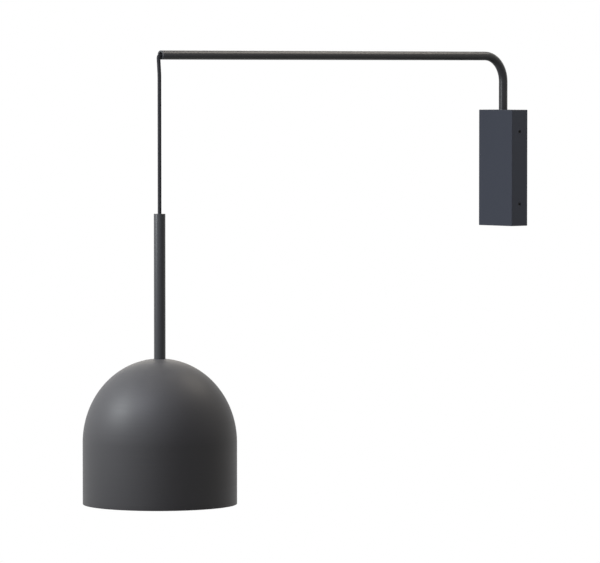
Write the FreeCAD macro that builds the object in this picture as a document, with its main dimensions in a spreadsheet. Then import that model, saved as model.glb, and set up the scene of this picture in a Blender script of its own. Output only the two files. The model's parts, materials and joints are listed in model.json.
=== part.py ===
import FreeCAD, Part

# Hanging pendant wall light, in millimetres. +Z is up, the wall is the plane y = 0 and the
# light stands out from it along -Y. The origin is the middle of the two wall screws.
# A bent tube turns on the wall box, and a cord over the tube's end carries a stem and a dome shade.

import math
import os
import re

import Sketcher
from FreeCAD import Placement, Rotation, Vector

SIZES = [
    # name, value, what it measures
    ("box_width", 65, "wall box, across"),
    ("box_depth", 30, "wall box, out from the wall"),
    ("box_height", 160, "wall box, upright"),
    ("box_wall", 1.5, "wall box, sheet thickness"),
    ("box_edge", 0.8, "wall box, radius of its outer edges"),
    ("box_tube_gap", 0.3, "gap round the tube in the box's top"),
    ("side_screw_spacing", 100, "between the two screws in one side of the box"),
    ("side_screw_access", 5, "diameter of the box's holes for them"),
    ("side_screw_thread", 4, "thread diameter of the side screws"),
    ("side_screw_length", 8, "length of the side screws"),
    ("side_screw_recess", 0.6, "how far they lie inside the box's side"),
    ("side_screw_socket", 2, "hexagon socket of the side screws, across flats"),
    ("clinch_nut_diameter", 8, "pressed nut, outside"),
    ("clinch_nut_height", 3, "pressed nut, thickness"),
    ("bracket_sheet", 2, "wall bracket, sheet thickness"),
    ("bracket_height", 140, "wall bracket, upright"),
    ("bracket_reach", 22, "wall bracket, flanges out from the wall"),
    ("bracket_gap", 0.4, "between a flange and the box's side"),
    ("wall_screw_spacing", 110, "between the two wall screws"),
    ("wall_slot_width", 5.2, "slot for a wall screw"),
    ("wall_slot_length", 12, "slot for a wall screw, end to end"),
    ("grommet_hole", 16, "cable hole in the bracket"),
    ("grommet_flange", 20, "grommet, outside"),
    ("grommet_bore", 9, "grommet, bore for the supply cable"),
    ("grommet_lip", 2, "grommet, thickness in front of the bracket"),
    ("thread_gap", 0.03, "radial gap of a screwed or pressed fit"),
    ("running_gap", 0.05, "radial gap of a part that turns"),
    ("tube_diameter", 12, "arm tube, outside"),
    ("tube_wall", 1, "arm tube, wall"),
    ("arm_rise", 74, "box top to the arm's centreline"),
    ("arm_reach", 620, "swivel axis to the arm's end"),
    ("arm_bend", 35, "centreline radius of the arm's bend"),
    ("liner_length", 14, "liner in the arm's end"),
    ("liner_wall", 1.5, "liner in the arm's end, wall"),
    ("liner_throat", 1.2, "liner in the arm's end, length of the flare at its mouth"),
    ("liner_flare", 0.3, "liner in the arm's end, width of that flare"),
    ("housing_diameter", 22, "pivot housing, outside"),
    ("housing_bore", 14, "pivot housing, bore"),
    ("housing_length", 40.5, "pivot housing, under the box's top"),
    ("housing_floor", 4, "pivot housing, floor"),
    ("bush_length", 16, "pivot bush"),
    ("thrust_height", 1.5, "thrust washer"),
    ("spindle_diameter", 9.94, "spindle, outside of the thread"),
    ("spindle_bore", 7.6, "spindle, bore"),
    ("spindle_insert", 20, "spindle, length inside the tube"),
    ("spindle_tail", 2.8, "spindle, length below the lock nut"),
    ("wave_height", 1.2, "wave washer"),
    ("wave_diameter", 14.5, "wave washer, outside"),
    ("stop_height", 4, "stop ring"),
    ("stop_hub", 15, "stop ring, diameter of its hub"),
    ("stop_reach", 11, "stop ring, radius of its sector"),
    ("stop_sector", 179, "stop ring, angle of its sector in degrees"),
    ("stop_pin_radius", 9.2, "stop pin, distance from the swivel axis"),
    ("stop_pin_diameter", 3, "stop pin"),
    ("stop_pin_depth", 3, "stop pin, length in the housing's floor"),
    ("stop_screw_diameter", 3, "stop ring's grub screw"),
    ("nut_flats", 14, "M10 nuts, across flats"),
    ("nut_height", 4, "M10 nuts"),
    ("cord_diameter", 5, "textile cord"),
    ("cord_clearance", 0.05, "between the cord and what it lies on"),
    ("cord_drop", 205, "arm's centreline to the stem's top"),
    ("plumb_offset", 2.2, "arm's end to the pendant's axis"),
    ("lip_offset", 3.9, "arm's end to the corner of the cord's route over the lip"),
    ("lip_bend", 4.5, "centreline radius of the cord over the lip"),
    ("kink_drop", 26, "arm's centreline to where the cord hangs plumb"),
    ("upper_drop", 42, "arm's centreline to the end of the cord's upper stretch"),
    ("middle_drop", 124, "arm's centreline to the end of its middle stretch"),
    ("cord_leg_low", 22, "thrust washer to the cord's first slight bend in the leg"),
    ("cord_leg_high", 52, "thrust washer to its second slight bend"),
    ("cord_tail", 22, "spindle's end to the end of the cord's sheath"),
    ("clamp_width", 26, "cord clamp, across"),
    ("clamp_height", 10, "cord clamp, upright"),
    ("clamp_drop", 8, "spindle's end to the clamp's top"),
    ("clamp_squeeze", 0.03, "gap between the cord and each jaw"),
    ("saddle_thickness", 3, "cord clamp, saddle"),
    ("clamp_screw_spacing", 18, "between the clamp's screws"),
    ("small_screw", 3, "thread diameter of the small screws"),
    ("small_screw_head", 5.5, "head diameter of the small screws"),
    ("small_screw_head_height", 1.8, "head height of the small screws"),
    ("clamp_screw_length", 13, "clamp's screws under the head"),
    ("wire_diameter", 1.8, "insulated conductor"),
    ("block_top", 16, "origin down to the terminal block's top"),
    ("block_height", 18, "terminal block, upright"),
    ("block_width", 34, "terminal block, across"),
    ("block_depth", 14, "terminal block, out from the bracket"),
    ("block_pitch", 10, "between the ways of the terminal block"),
    ("sleeve_diameter", 4, "terminal sleeve, outside"),
    ("sleeve_inset", 1, "terminal sleeve's end inside the block"),
    ("terminal_screw", 2.6, "terminal screw"),
    ("terminal_screw_length", 4.8, "terminal screw"),
    ("earth_x", 18, "earth screw, to the right"),
    ("earth_drop", 48, "earth screw, below the origin"),
    ("earth_tag_diameter", 8, "ring of the earth tag"),
    ("earth_tag_sheet", 0.8, "earth tag, thickness"),
    ("stem_diameter", 15, "stem, outside"),
    ("stem_wall", 1, "stem, wall"),
    ("stem_length", 188, "stem"),
    ("stem_edge", 0.3, "stem, bevel of its top edge"),
    ("plug_length", 12, "plug in the stem's top"),
    ("plug_hole", 5.5, "plug, hole for the cord"),
    ("plug_mouth", 6.9, "plug, width of the hole at the top"),
    ("plug_mouth_depth", 0.8, "plug, depth of that widening"),
    ("ferrule_diameter", 9.2, "ferrule crimped on the cord"),
    ("ferrule_length", 8, "ferrule crimped on the cord"),
    ("foot_length", 14, "threaded insert in the stem's foot"),
    ("nipple_bore", 6.6, "nipple, bore"),
    ("nipple_above", 12, "nipple, length in the stem"),
    ("nipple_below", 16, "nipple, length under the shade's top"),
    ("shade_diameter", 200, "shade, outside"),
    ("shade_height", 188, "shade"),
    ("shade_dome", 108, "shade, height of its domed part"),
    ("shade_wall", 1.2, "shade, sheet thickness"),
    ("shade_seat", 20, "shade, flat on its top"),
    ("shade_rim", 0.5, "shade, rounding of the rim"),
    ("nipple_hole_gap", 0.2, "radial gap round the nipple in shade and washer"),
    ("washer_diameter", 19, "washer under the shade's top"),
    ("washer_height", 1.5, "washer under the shade's top"),
    ("cap_top", 7.2, "shade's top to the holder cap's top"),
    ("cap_diameter", 33.6, "holder cap"),
    ("cap_height", 22.8, "holder cap"),
    ("cap_wall", 2, "holder cap, wall"),
    ("cap_shoulder", 4.8, "holder cap, height of its bevelled shoulder"),
    ("cap_boss", 15, "holder cap, diameter of its threaded boss"),
    ("cap_boss_height", 8, "holder cap, threaded boss"),
    ("insert_height", 10, "ceramic insert"),
    ("insert_terminal", 8, "ceramic insert, axis to each terminal"),
    ("pocket_depth", 5, "ceramic insert, depth of its terminal holes"),
    ("holder_wall", 2.4, "holder's outer body, wall"),
    ("holder_overlap", 10, "holder's outer body over the cap"),
    ("body_gap", 0.3, "gap between nested shells"),
    ("thread_shell", 28.4, "lamp thread of the holder, outside"),
    ("thread_sheet", 0.5, "lamp thread of the holder, sheet"),
    ("thread_length", 22, "lamp thread of the holder"),
    ("contact_height", 1.5, "centre contact of the holder"),
    ("contact_diameter", 8, "centre contact of the holder"),
    ("bulb_cap_diameter", 26.4, "bulb's screw cap"),
    ("bulb_cap_length", 22, "bulb's screw cap"),
    ("bulb_cap_sheet", 0.5, "bulb's screw cap, sheet"),
    ("bulb_tip", 3.5, "bulb's tip contact, height"),
    ("collar_length", 33, "bulb's collar"),
    ("collar_mouth", 52, "bulb's collar, diameter at the globe"),
    ("globe_diameter", 60, "bulb's globe"),
    ("globe_wall", 1, "bulb's globe, wall"),
]

NAMES = {name for name, value, words in SIZES}

# Places that several pieces share, as expressions of the sizes.
SWIVEL_Y = "(-box_depth / 2)"
CEILING = "(box_height / 2 - box_wall)"
ARM_Z = "(box_height / 2 + arm_rise)"
ARM_END_Y = "(-box_depth / 2 - arm_reach)"
PLUMB_Y = "(-box_depth / 2 - arm_reach - plumb_offset)"
HOUSING_END = "(box_height / 2 - box_wall - housing_length)"
FLOOR_TOP = f"({HOUSING_END} + housing_floor)"
TUBE_FOOT = f"({FLOOR_TOP} + thrust_height)"
STOP_TOP = f"({HOUSING_END} - wave_height)"
NUT_TOP = f"({STOP_TOP} - stop_height)"
SPINDLE_END = f"({NUT_TOP} - nut_height - spindle_tail)"
CLAMP_TOP = f"({SPINDLE_END} - clamp_drop)"
SHEATH_END = f"({SPINDLE_END} - cord_tail)"
FLANGE_X = "(box_width / 2 - box_wall - bracket_gap)"
STEM_TOP = f"({ARM_Z} - cord_drop)"
SHADE_TOP = f"({STEM_TOP} - stem_length)"
UPPER_END = f"({ARM_Z} - upper_drop)"
MIDDLE_END = f"({ARM_Z} - middle_drop)"
CORD_IN_LINER_Z = (
    f"({ARM_Z} - tube_diameter / 2 + tube_wall + liner_wall + cord_clearance + cord_diameter / 2)"
)
NUT_HOLE = "(spindle_diameter / 2 + thread_gap)"
SCREW_HOLE = "(small_screw / 2 + thread_gap)"

ALONG_X = Rotation(Vector(0, 1, 0), 90)
ALONG_Y = Rotation(Vector(1, 0, 0), -90)
ALONG_MINUS_Y = Rotation(Vector(1, 0, 0), 90)
UPRIGHT = Rotation()

document = FreeCAD.newDocument("PendantWallLight")
sheet = document.addObject("Spreadsheet::Sheet", "Sizes")
nodes = []


# Sizes, expressions and placements


def fill_sheet():
    """Writes each size in its own cell, which has the size's name as its alias."""
    for row, (name, value, words) in enumerate(SIZES, start=1):
        sheet.set(f"A{row}", words)
        sheet.set(f"B{row}", str(value))
        sheet.setAlias(f"B{row}", name)
    document.recompute()


def bound(text):
    """The expression with each size's name turned into a reference to its cell."""
    return re.sub(r"[a-z][a-z_]*", lambda m: f"Sizes.{m[0]}" if m[0] in NAMES else m[0], text)


def number(text):
    """The value that the expression has with the sizes as they are."""
    return float(sheet.evalExpression(bound(text)))


def place(thing, x="0", y="0", z="0", turn=UPRIGHT):
    """Puts a thing at x, y, z, each of which stays bound to the sizes."""
    thing.Placement = Placement(Vector(number(x), number(y), number(z)), turn)
    for letter, text in zip("xyz", (x, y, z)):
        thing.setExpression(f"Placement.Base.{letter}", bound(text))
    return thing


def node(thing, label):
    """Makes a thing a sub-part, which its own file is named after."""
    thing.Label = label
    nodes.append(thing)
    return thing


# Primitives and booleans


def cylinder(name, radius, height, x="0", y="0", z="0", turn=UPRIGHT):
    """A round bar from x, y, z along its turned axis."""
    bar = document.addObject("Part::Cylinder", name)
    bar.setExpression("Radius", bound(radius))
    bar.setExpression("Height", bound(height))
    return place(bar, x, y, z, turn)


def block(name, length, width, height, x, y, z):
    """A box from its lowest corner x, y, z."""
    box = document.addObject("Part::Box", name)
    for side, text in (("Length", length), ("Width", width), ("Height", height)):
        box.setExpression(side, bound(text))
    return place(box, x, y, z)


def hexagon(name, flats, height, x="0", y="0", z="0", turn=UPRIGHT):
    """A six-sided bar from x, y, z along its turned axis."""
    bar = document.addObject("Part::Prism", name)
    bar.Polygon = 6
    bar.setExpression("Circumradius", bound(f"({flats}) / sqrt(3)"))
    bar.setExpression("Height", bound(height))
    return place(bar, x, y, z, turn)


def cut(name, base, *tools):
    """The base less the tools."""
    tool = tools[0] if len(tools) == 1 else fuse(f"{name}_tools", *tools)
    result = document.addObject("Part::Cut", name)
    result.Base = base
    result.Tool = tool
    return result


def fuse(name, *parts):
    """The parts as one solid."""
    result = document.addObject("Part::MultiFuse", name)
    result.Shapes = list(parts)
    return result


def group(name, parts):
    """Separate solids that share one node."""
    result = document.addObject("Part::Compound", name)
    result.Links = list(parts)
    return result


# Sketches and bodies


def origin_plane(body, role):
    """The body's own XY, XZ or YZ plane."""
    return next(f for f in body.Origin.OriginFeatures if f.Role == role)


def sketch_on(body, name, plane, offset="0"):
    """A sketch on one of the body's planes, moved off it by offset."""
    sketch = body.newObject("Sketcher::SketchObject", name)
    sketch.AttachmentSupport = [(origin_plane(body, plane), "")]
    sketch.MapMode = "FlatFace"
    sketch.setExpression("AttachmentOffset.Base.z", bound(offset))
    return sketch


def fix_distance(sketch, kind, geometry, point, text):
    """Ties one coordinate of a point of the sketch to an expression."""
    index = sketch.addConstraint(Sketcher.Constraint(kind, -1, 1, geometry, point, number(text)))
    sketch.setExpression(f"Constraints[{index}]", bound(text))


def fix_point(sketch, geometry, point, x, y):
    """Ties both coordinates of a point of the sketch, measured from the sketch's origin."""
    fix_distance(sketch, "DistanceX", geometry, point, x)
    fix_distance(sketch, "DistanceY", geometry, point, y)


def outline(sketch, corners):
    """A closed outline of straight sides through the corners."""
    points = [Vector(number(x), number(y), 0) for x, y in corners]
    first = sketch.GeometryCount
    count = len(corners)
    for i in range(count):
        sketch.addGeometry(Part.LineSegment(points[i], points[(i + 1) % count]), False)
    for i, (x, y) in enumerate(corners):
        following = first + (i + 1) % count
        sketch.addConstraint(Sketcher.Constraint("Coincident", first + i, 2, following, 1))
        fix_point(sketch, first + i, 1, x, y)


def circle(sketch, radius, x="0", y="0"):
    """A circle about x, y."""
    centre = Vector(number(x), number(y), 0)
    index = sketch.addGeometry(Part.Circle(centre, Vector(0, 0, 1), number(radius)), False)
    fix_point(sketch, index, 3, x, y)
    rule = sketch.addConstraint(Sketcher.Constraint("Radius", index, number(radius)))
    sketch.setExpression(f"Constraints[{rule}]", bound(radius))


def upright_slot(sketch, width, length, x, y):
    """A slot with round ends, along the sketch's Y axis and centred on x, y."""
    half = f"({width}) / 2"
    reach = f"(({length}) - ({width})) / 2"
    corners = [
        (f"{x} - {half}", f"{y} + {reach}"),
        (f"{x} - {half}", f"{y} - {reach}"),
        (f"{x} + {half}", f"{y} - {reach}"),
        (f"{x} + {half}", f"{y} + {reach}"),
    ]
    points = [Vector(number(a), number(b), 0) for a, b in corners]
    bulge = Vector(0, number(half), 0)
    middle_low = (points[1] + points[2]) / 2 - bulge
    middle_high = (points[0] + points[3]) / 2 + bulge
    first = sketch.GeometryCount
    sketch.addGeometry(Part.LineSegment(points[0], points[1]), False)
    sketch.addGeometry(Part.Arc(points[1], middle_low, points[2]), False)
    sketch.addGeometry(Part.LineSegment(points[2], points[3]), False)
    sketch.addGeometry(Part.Arc(points[3], middle_high, points[0]), False)
    left, low, right, high = range(first, first + 4)
    for line, arc, line_end, arc_end in (
        (left, low, 2, 1),
        (right, low, 1, 2),
        (right, high, 2, 1),
        (left, high, 1, 2),
    ):
        sketch.addConstraint(Sketcher.Constraint("Coincident", line, line_end, arc, arc_end))
    fix_point(sketch, left, 1, *corners[0])
    fix_point(sketch, left, 2, *corners[1])
    fix_point(sketch, right, 1, *corners[2])
    fix_point(sketch, right, 2, *corners[3])
    for arc, height in ((low, corners[1][1]), (high, corners[0][1])):
        fix_distance(sketch, "DistanceY", arc, 3, height)


def pad(body, sketch, length, midplane=False):
    """Grows the sketch into a solid along its normal, or to both sides of it."""
    feature = body.newObject("PartDesign::Pad", f"{sketch.Name}_pad")
    feature.Profile = sketch
    feature.Midplane = midplane
    feature.setExpression("Length", bound(length))
    document.recompute()
    return feature


def pocket(body, sketch, length=None, reversed_way=False):
    """Cuts the sketch out of the solid, through all of it both ways if no length is given."""
    before = body.Shape.Volume
    feature = body.newObject("PartDesign::Pocket", f"{sketch.Name}_pocket")
    feature.Profile = sketch
    feature.Reversed = reversed_way
    if length is None:
        feature.Type = "ThroughAll"
        feature.Midplane = not reversed_way
    else:
        feature.setExpression("Length", bound(length))
    document.recompute()
    if body.Shape.Volume >= before:
        raise RuntimeError(f"{feature.Name} cuts nothing")
    return feature


def body_named(label):
    """An empty body that becomes a node."""
    return node(document.addObject("PartDesign::Body", label), label)


def turned(label, profile, x="0", y="0", z="0", turn=UPRIGHT):
    """A turned piece: its profile, as radius and height, goes once round its axis."""
    body = body_named(label)
    sketch = sketch_on(body, f"{label}_profile", "XZ_Plane")
    outline(sketch, profile)
    feature = body.newObject("PartDesign::Revolution", f"{label}_turning")
    feature.Profile = sketch
    feature.ReferenceAxis = (sketch, ["V_Axis"])
    feature.Angle = 360
    place(body, x, y, z, turn)
    document.recompute()
    return body


def tube_profile(inner, outer, low, high):
    """The profile of a plain ring."""
    return [(inner, low), (outer, low), (outer, high), (inner, high)]


# Cords and wires: straight runs joined by tangent arcs


def rounded_route(points, radii):
    """A wire along the points, with an arc of the given radius at each inner point."""
    edges = []
    start = points[0]
    for before, corner, after, radius in zip(points, points[1:], points[2:], radii):
        inward = (before - corner).normalize()
        outward = (after - corner).normalize()
        half_angle = inward.getAngle(outward) / 2
        setback = radius / math.tan(half_angle)
        arc_start = corner + inward * setback
        arc_end = corner + outward * setback
        bisector = (inward + outward).normalize()
        centre = corner + bisector * (radius / math.sin(half_angle))
        arc_middle = centre - bisector * radius
        edges.append(Part.LineSegment(start, arc_start).toShape())
        edges.append(Part.Arc(arc_start, arc_middle, arc_end).toShape())
        start = arc_end
    if (points[-1] - start).Length > 1e-6:
        edges.append(Part.LineSegment(start, points[-1]).toShape())
    return Part.Wire(edges)


def widest_radii(points):
    """The largest arc that each corner of the route has room for."""
    radii = []
    for before, corner, after in zip(points, points[1:], points[2:]):
        half_turn = (math.pi - (before - corner).getAngle(after - corner)) / 2
        shorter = min((corner - before).Length, (after - corner).Length)
        radii.append(0.45 * shorter / math.tan(half_turn))
    return radii


def cord(label, points, radii, diameter):
    """A round cord along its route. Prints its length, its radii and how true its volume is."""
    route = rounded_route(points, radii)
    start = points[0]
    section = Part.Circle(start, points[1] - start, diameter / 2)
    profile = Part.Wire([section.toShape()])
    shape = route.makePipeShell([profile], True, False)
    expected = math.pi * diameter**2 / 4 * route.Length
    print(
        f"{label}: length {route.Length:.1f}, radii {[round(r, 1) for r in radii]},"
        f" volume over section times length {shape.Volume / expected:.4f}"
    )
    thing = document.addObject("Part::Feature", label)
    thing.Shape = shape
    thing.Placement = Placement()
    return node(thing, label)


def at(x, y, z):
    """A point from three expressions."""
    return Vector(number(x), number(y), number(z))


# The wall unit


def make_wall_bracket():
    """A U of folded sheet: its back lies on the wall and its flanges hold the box."""
    body = body_named("wall_bracket")
    section = sketch_on(body, "bracket_section", "XY_Plane")
    inside = f"({FLANGE_X} - bracket_sheet)"
    outline(
        section,
        [
            (f"-{FLANGE_X}", "0"),
            (f"-{FLANGE_X}", "-bracket_reach"),
            (f"-{inside}", "-bracket_reach"),
            (f"-{inside}", "-bracket_sheet"),
            (inside, "-bracket_sheet"),
            (inside, "-bracket_reach"),
            (FLANGE_X, "-bracket_reach"),
            (FLANGE_X, "0"),
        ],
    )
    pad(body, section, "bracket_height", midplane=True)
    back_holes = sketch_on(body, "bracket_back_holes", "XZ_Plane")
    for side in ("", "-"):
        middle = f"{side}wall_screw_spacing / 2"
        upright_slot(back_holes, "wall_slot_width", "wall_slot_length", "0", middle)
    circle(back_holes, "grommet_hole / 2")
    circle(back_holes, "side_screw_thread / 2 + thread_gap", "earth_x", "-earth_drop")
    circle(back_holes, SCREW_HOLE, "block_pitch / 2", "-block_top - block_height / 2")
    pocket(body, back_holes)
    side_holes = sketch_on(body, "bracket_side_holes", "YZ_Plane")
    for side in ("", "-"):
        circle(
            side_holes,
            "side_screw_thread / 2 + thread_gap",
            SWIVEL_Y,
            f"{side}side_screw_spacing / 2",
        )
    pocket(body, side_holes)


def side_screw_places():
    """The side and height signs of the four screws that hold the box."""
    return [(side, height) for side in (-1, 1) for height in (-1, 1)]


def make_box_screws():
    """Grub screws through the flanges, and the pressed nuts that they turn in."""
    screws = []
    nuts = []
    for i, (side, height) in enumerate(side_screw_places()):
        turn = ALONG_X if side > 0 else Rotation(Vector(0, 1, 0), -90)
        z = f"{height} * side_screw_spacing / 2"
        tip_x = f"{side} * (box_width / 2 - side_screw_recess - side_screw_length)"
        end_x = f"{side} * (box_width / 2 - side_screw_recess - side_screw_length / 3)"
        bar = cylinder(
            f"box_screw_{i}", "side_screw_thread / 2", "side_screw_length", tip_x, SWIVEL_Y, z, turn
        )
        socket = hexagon(
            f"box_socket_{i}", "side_screw_socket", "side_screw_length", end_x, SWIVEL_Y, z, turn
        )
        screws.append(cut(f"box_screw_cut_{i}", bar, socket))
        nut_x = f"{side} * ({FLANGE_X} - bracket_sheet - clinch_nut_height)"
        outside = cylinder(
            f"nut_blank_{i}", "clinch_nut_diameter / 2", "clinch_nut_height", nut_x, SWIVEL_Y, z, turn
        )
        thread = cylinder(
            f"nut_thread_{i}",
            "side_screw_thread / 2 + thread_gap",
            "clinch_nut_height",
            nut_x,
            SWIVEL_Y,
            z,
            turn,
        )
        nuts.append(cut(f"nut_cut_{i}", outside, thread))
    node(group("box_screw_group", screws), "box_screws")
    node(group("clinch_nut_group", nuts), "clinch_nuts")


def outer_edges(shape):
    """The names of the edges that don't lie on the wall plane."""
    return [
        f"Edge{i}"
        for i, edge in enumerate(shape.Edges, start=1)
        if edge.BoundBox.YMin < -1e-6
        and not (edge.BoundBox.YLength > 1 and edge.BoundBox.YMax < -1)
    ]


def make_wall_box():
    """The box: five sides of sheet, open to the wall."""
    body = body_named("wall_box")
    face = sketch_on(body, "box_face", "XZ_Plane")
    outline(face, rectangle("box_width / 2", "box_height / 2"))
    solid = pad(body, face, "box_depth")
    rounding = body.newObject("PartDesign::Fillet", "box_rounding")
    rounding.Base = (solid, outer_edges(solid.Shape))
    rounding.setExpression("Radius", bound("min(box_edge; box_wall * 0.9)"))
    document.recompute()
    inside = sketch_on(body, "box_inside", "XZ_Plane")
    outline(inside, rectangle("box_width / 2 - box_wall", "box_height / 2 - box_wall"))
    pocket(body, inside, "box_depth - box_wall", reversed_way=True)
    top_hole = sketch_on(body, "box_top_hole", "XY_Plane")
    circle(top_hole, "tube_diameter / 2 + box_tube_gap", "0", SWIVEL_Y)
    pocket(body, top_hole, reversed_way=True)
    side_holes = sketch_on(body, "box_side_holes", "YZ_Plane")
    for side in ("", "-"):
        circle(side_holes, "side_screw_access / 2", SWIVEL_Y, f"{side}side_screw_spacing / 2")
    pocket(body, side_holes)


def rectangle(half_width, half_height):
    """The corners of a rectangle centred on the sketch's origin."""
    return [
        (f"-({half_width})", f"-({half_height})"),
        (half_width, f"-({half_height})"),
        (half_width, half_height),
        (f"-({half_width})", half_height),
    ]


def make_cable_grommet():
    """The rubber bush in the bracket's cable hole, flush with the wall side."""
    waist = "(grommet_hole / 2 - thread_gap)"
    turned(
        "cable_grommet",
        [
            ("grommet_bore / 2", "0"),
            (waist, "0"),
            (waist, "bracket_sheet"),
            ("grommet_flange / 2", "bracket_sheet"),
            ("grommet_flange / 2", "bracket_sheet + grommet_lip"),
            ("grommet_bore / 2", "bracket_sheet + grommet_lip"),
        ],
        turn=ALONG_MINUS_Y,
    )


def make_pivot_housing():
    """The cup that carries the arm, with a blind hole for the stop pin in its floor."""
    body = turned(
        "pivot_housing",
        [
            ("spindle_diameter / 2 + running_gap", HOUSING_END),
            ("housing_diameter / 2", HOUSING_END),
            ("housing_diameter / 2", CEILING),
            ("housing_bore / 2", CEILING),
            ("housing_bore / 2", FLOOR_TOP),
            ("spindle_diameter / 2 + running_gap", FLOOR_TOP),
        ],
        y=SWIVEL_Y,
    )
    pin_hole = sketch_on(body, "stop_pin_hole", "XY_Plane", HOUSING_END)
    circle(pin_hole, "stop_pin_diameter / 2 + thread_gap", "0", "stop_pin_radius")
    pocket(body, pin_hole, "stop_pin_depth", reversed_way=True)
    pin = cylinder(
        "stop_pin_bar",
        "stop_pin_diameter / 2",
        "stop_pin_depth + wave_height + stop_height",
        "0",
        f"{SWIVEL_Y} + stop_pin_radius",
        f"{HOUSING_END} - wave_height - stop_height",
    )
    node(pin, "stop_pin")


def make_swivel():
    """What turns in the housing: bush, washers, spindle, stop ring and nut."""
    bush_top = f"({CEILING} - body_gap)"
    bush = tube_profile(
        "tube_diameter / 2 + running_gap",
        "housing_bore / 2 - thread_gap",
        f"{bush_top} - bush_length",
        bush_top,
    )
    turned("pivot_bush", bush, y=SWIVEL_Y)
    thrust = tube_profile(NUT_HOLE, "housing_bore / 2 - body_gap", FLOOR_TOP, TUBE_FOOT)
    turned("thrust_washer", thrust, y=SWIVEL_Y)
    spindle = tube_profile(
        "spindle_bore / 2", "spindle_diameter / 2", SPINDLE_END, f"{TUBE_FOOT} + spindle_insert"
    )
    turned("pivot_spindle", spindle, y=SWIVEL_Y)
    wave = tube_profile(NUT_HOLE, "wave_diameter / 2", STOP_TOP, HOUSING_END)
    turned("wave_washer", wave, y=SWIVEL_Y)
    make_stop_ring()
    blank = hexagon("lock_nut_blank", "nut_flats", "nut_height", "0", SWIVEL_Y, f"{NUT_TOP} - nut_height")
    thread = cylinder(
        "lock_nut_thread", NUT_HOLE, "nut_height", "0", SWIVEL_Y, f"{NUT_TOP} - nut_height"
    )
    node(cut("lock_nut_cut", blank, thread), "lock_nut")


def make_stop_ring():
    """A hub with a sector whose two ends meet the stop pin, and the screw that holds it."""
    hub = cylinder("stop_hub_bar", "stop_hub / 2", "stop_height", "0", SWIVEL_Y, NUT_TOP)
    sector_turn = Rotation(Vector(0, 0, 1), 270 - number("stop_sector") / 2)
    sector = cylinder(
        "stop_sector_bar", "stop_reach", "stop_height", "0", SWIVEL_Y, NUT_TOP, sector_turn
    )
    sector.setExpression("Angle", bound("stop_sector"))
    bore = cylinder("stop_bore", NUT_HOLE, "stop_height", "0", SWIVEL_Y, NUT_TOP)
    screw_z = f"{NUT_TOP} + stop_height / 2"
    screw_hole = cylinder(
        "stop_screw_hole",
        "stop_screw_diameter / 2 + thread_gap",
        "stop_reach",
        "0",
        SWIVEL_Y,
        screw_z,
        ALONG_MINUS_Y,
    )
    ring = fuse("stop_ring_blank", hub, sector)
    node(cut("stop_ring_cut", ring, bore, screw_hole), "stop_ring")
    screw = cylinder(
        "stop_screw_bar",
        "stop_screw_diameter / 2",
        "stop_reach - spindle_diameter / 2 - 2 * side_screw_recess",
        "0",
        f"{SWIVEL_Y} - spindle_diameter / 2 - side_screw_recess",
        screw_z,
        ALONG_MINUS_Y,
    )
    socket = hexagon(
        "stop_screw_socket",
        "side_screw_socket * 0.75",
        "stop_reach",
        "0",
        f"{SWIVEL_Y} - stop_reach + 2 * side_screw_recess + 1",
        screw_z,
        ALONG_MINUS_Y,
    )
    node(cut("stop_screw_cut", screw, socket), "stop_ring_screw")


def make_cord_clamp():
    """Two jaws on the cord's sheath in the box, drawn together by two screws."""
    jaw = "(cord_diameter / 2 + clamp_squeeze)"
    low = f"{CLAMP_TOP} - clamp_height"
    front = "(-box_depth + box_wall)"
    base_depth = f"({SWIVEL_Y} - {jaw} - {front})"
    saddle_back = f"({SWIVEL_Y} + {jaw} + saddle_thickness)"
    base = block(
        "clamp_base_block",
        "clamp_width",
        base_depth,
        "clamp_height",
        "-clamp_width / 2",
        front,
        low,
    )
    saddle = block(
        "clamp_saddle_block",
        "clamp_width",
        "saddle_thickness",
        "clamp_height",
        "-clamp_width / 2",
        f"{SWIVEL_Y} + {jaw}",
        low,
    )
    screws = []
    base_holes = []
    saddle_holes = []
    for i, side in enumerate((-1, 1)):
        x = f"{side} * clamp_screw_spacing / 2"
        z = f"{CLAMP_TOP} - clamp_height / 2"
        spot = (x, saddle_back, z)
        shank = cylinder(f"clamp_shank_{i}", "small_screw / 2", "clamp_screw_length", *spot, ALONG_MINUS_Y)
        head = cylinder(
            f"clamp_head_{i}", "small_screw_head / 2", "small_screw_head_height", *spot, ALONG_Y
        )
        slot = block(
            f"clamp_slot_{i}",
            "small_screw_head * 2",
            "small_screw_head_height",
            "small_screw_head * 0.15",
            f"{x} - small_screw_head",
            f"{saddle_back} + small_screw_head_height / 2",
            f"{z} - small_screw_head * 0.075",
        )
        screws.append(cut(f"clamp_screw_{i}", fuse(f"clamp_bolt_{i}", shank, head), slot))
        for holes, name in ((base_holes, "base"), (saddle_holes, "saddle")):
            hole = cylinder(
                f"clamp_{name}_hole_{i}", SCREW_HOLE, "clamp_screw_length", *spot, ALONG_MINUS_Y
            )
            holes.append(hole)
    node(cut("clamp_base_cut", base, *base_holes), "cord_clamp_base")
    node(cut("clamp_saddle_cut", saddle, *saddle_holes), "cord_clamp_saddle")
    node(group("clamp_screw_group", screws), "cord_clamp_screws")


def block_ways():
    """The x of each way of the terminal block: live, neutral and earth."""
    return [f"{step} * block_pitch" for step in (-1, 0, 1)]


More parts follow.
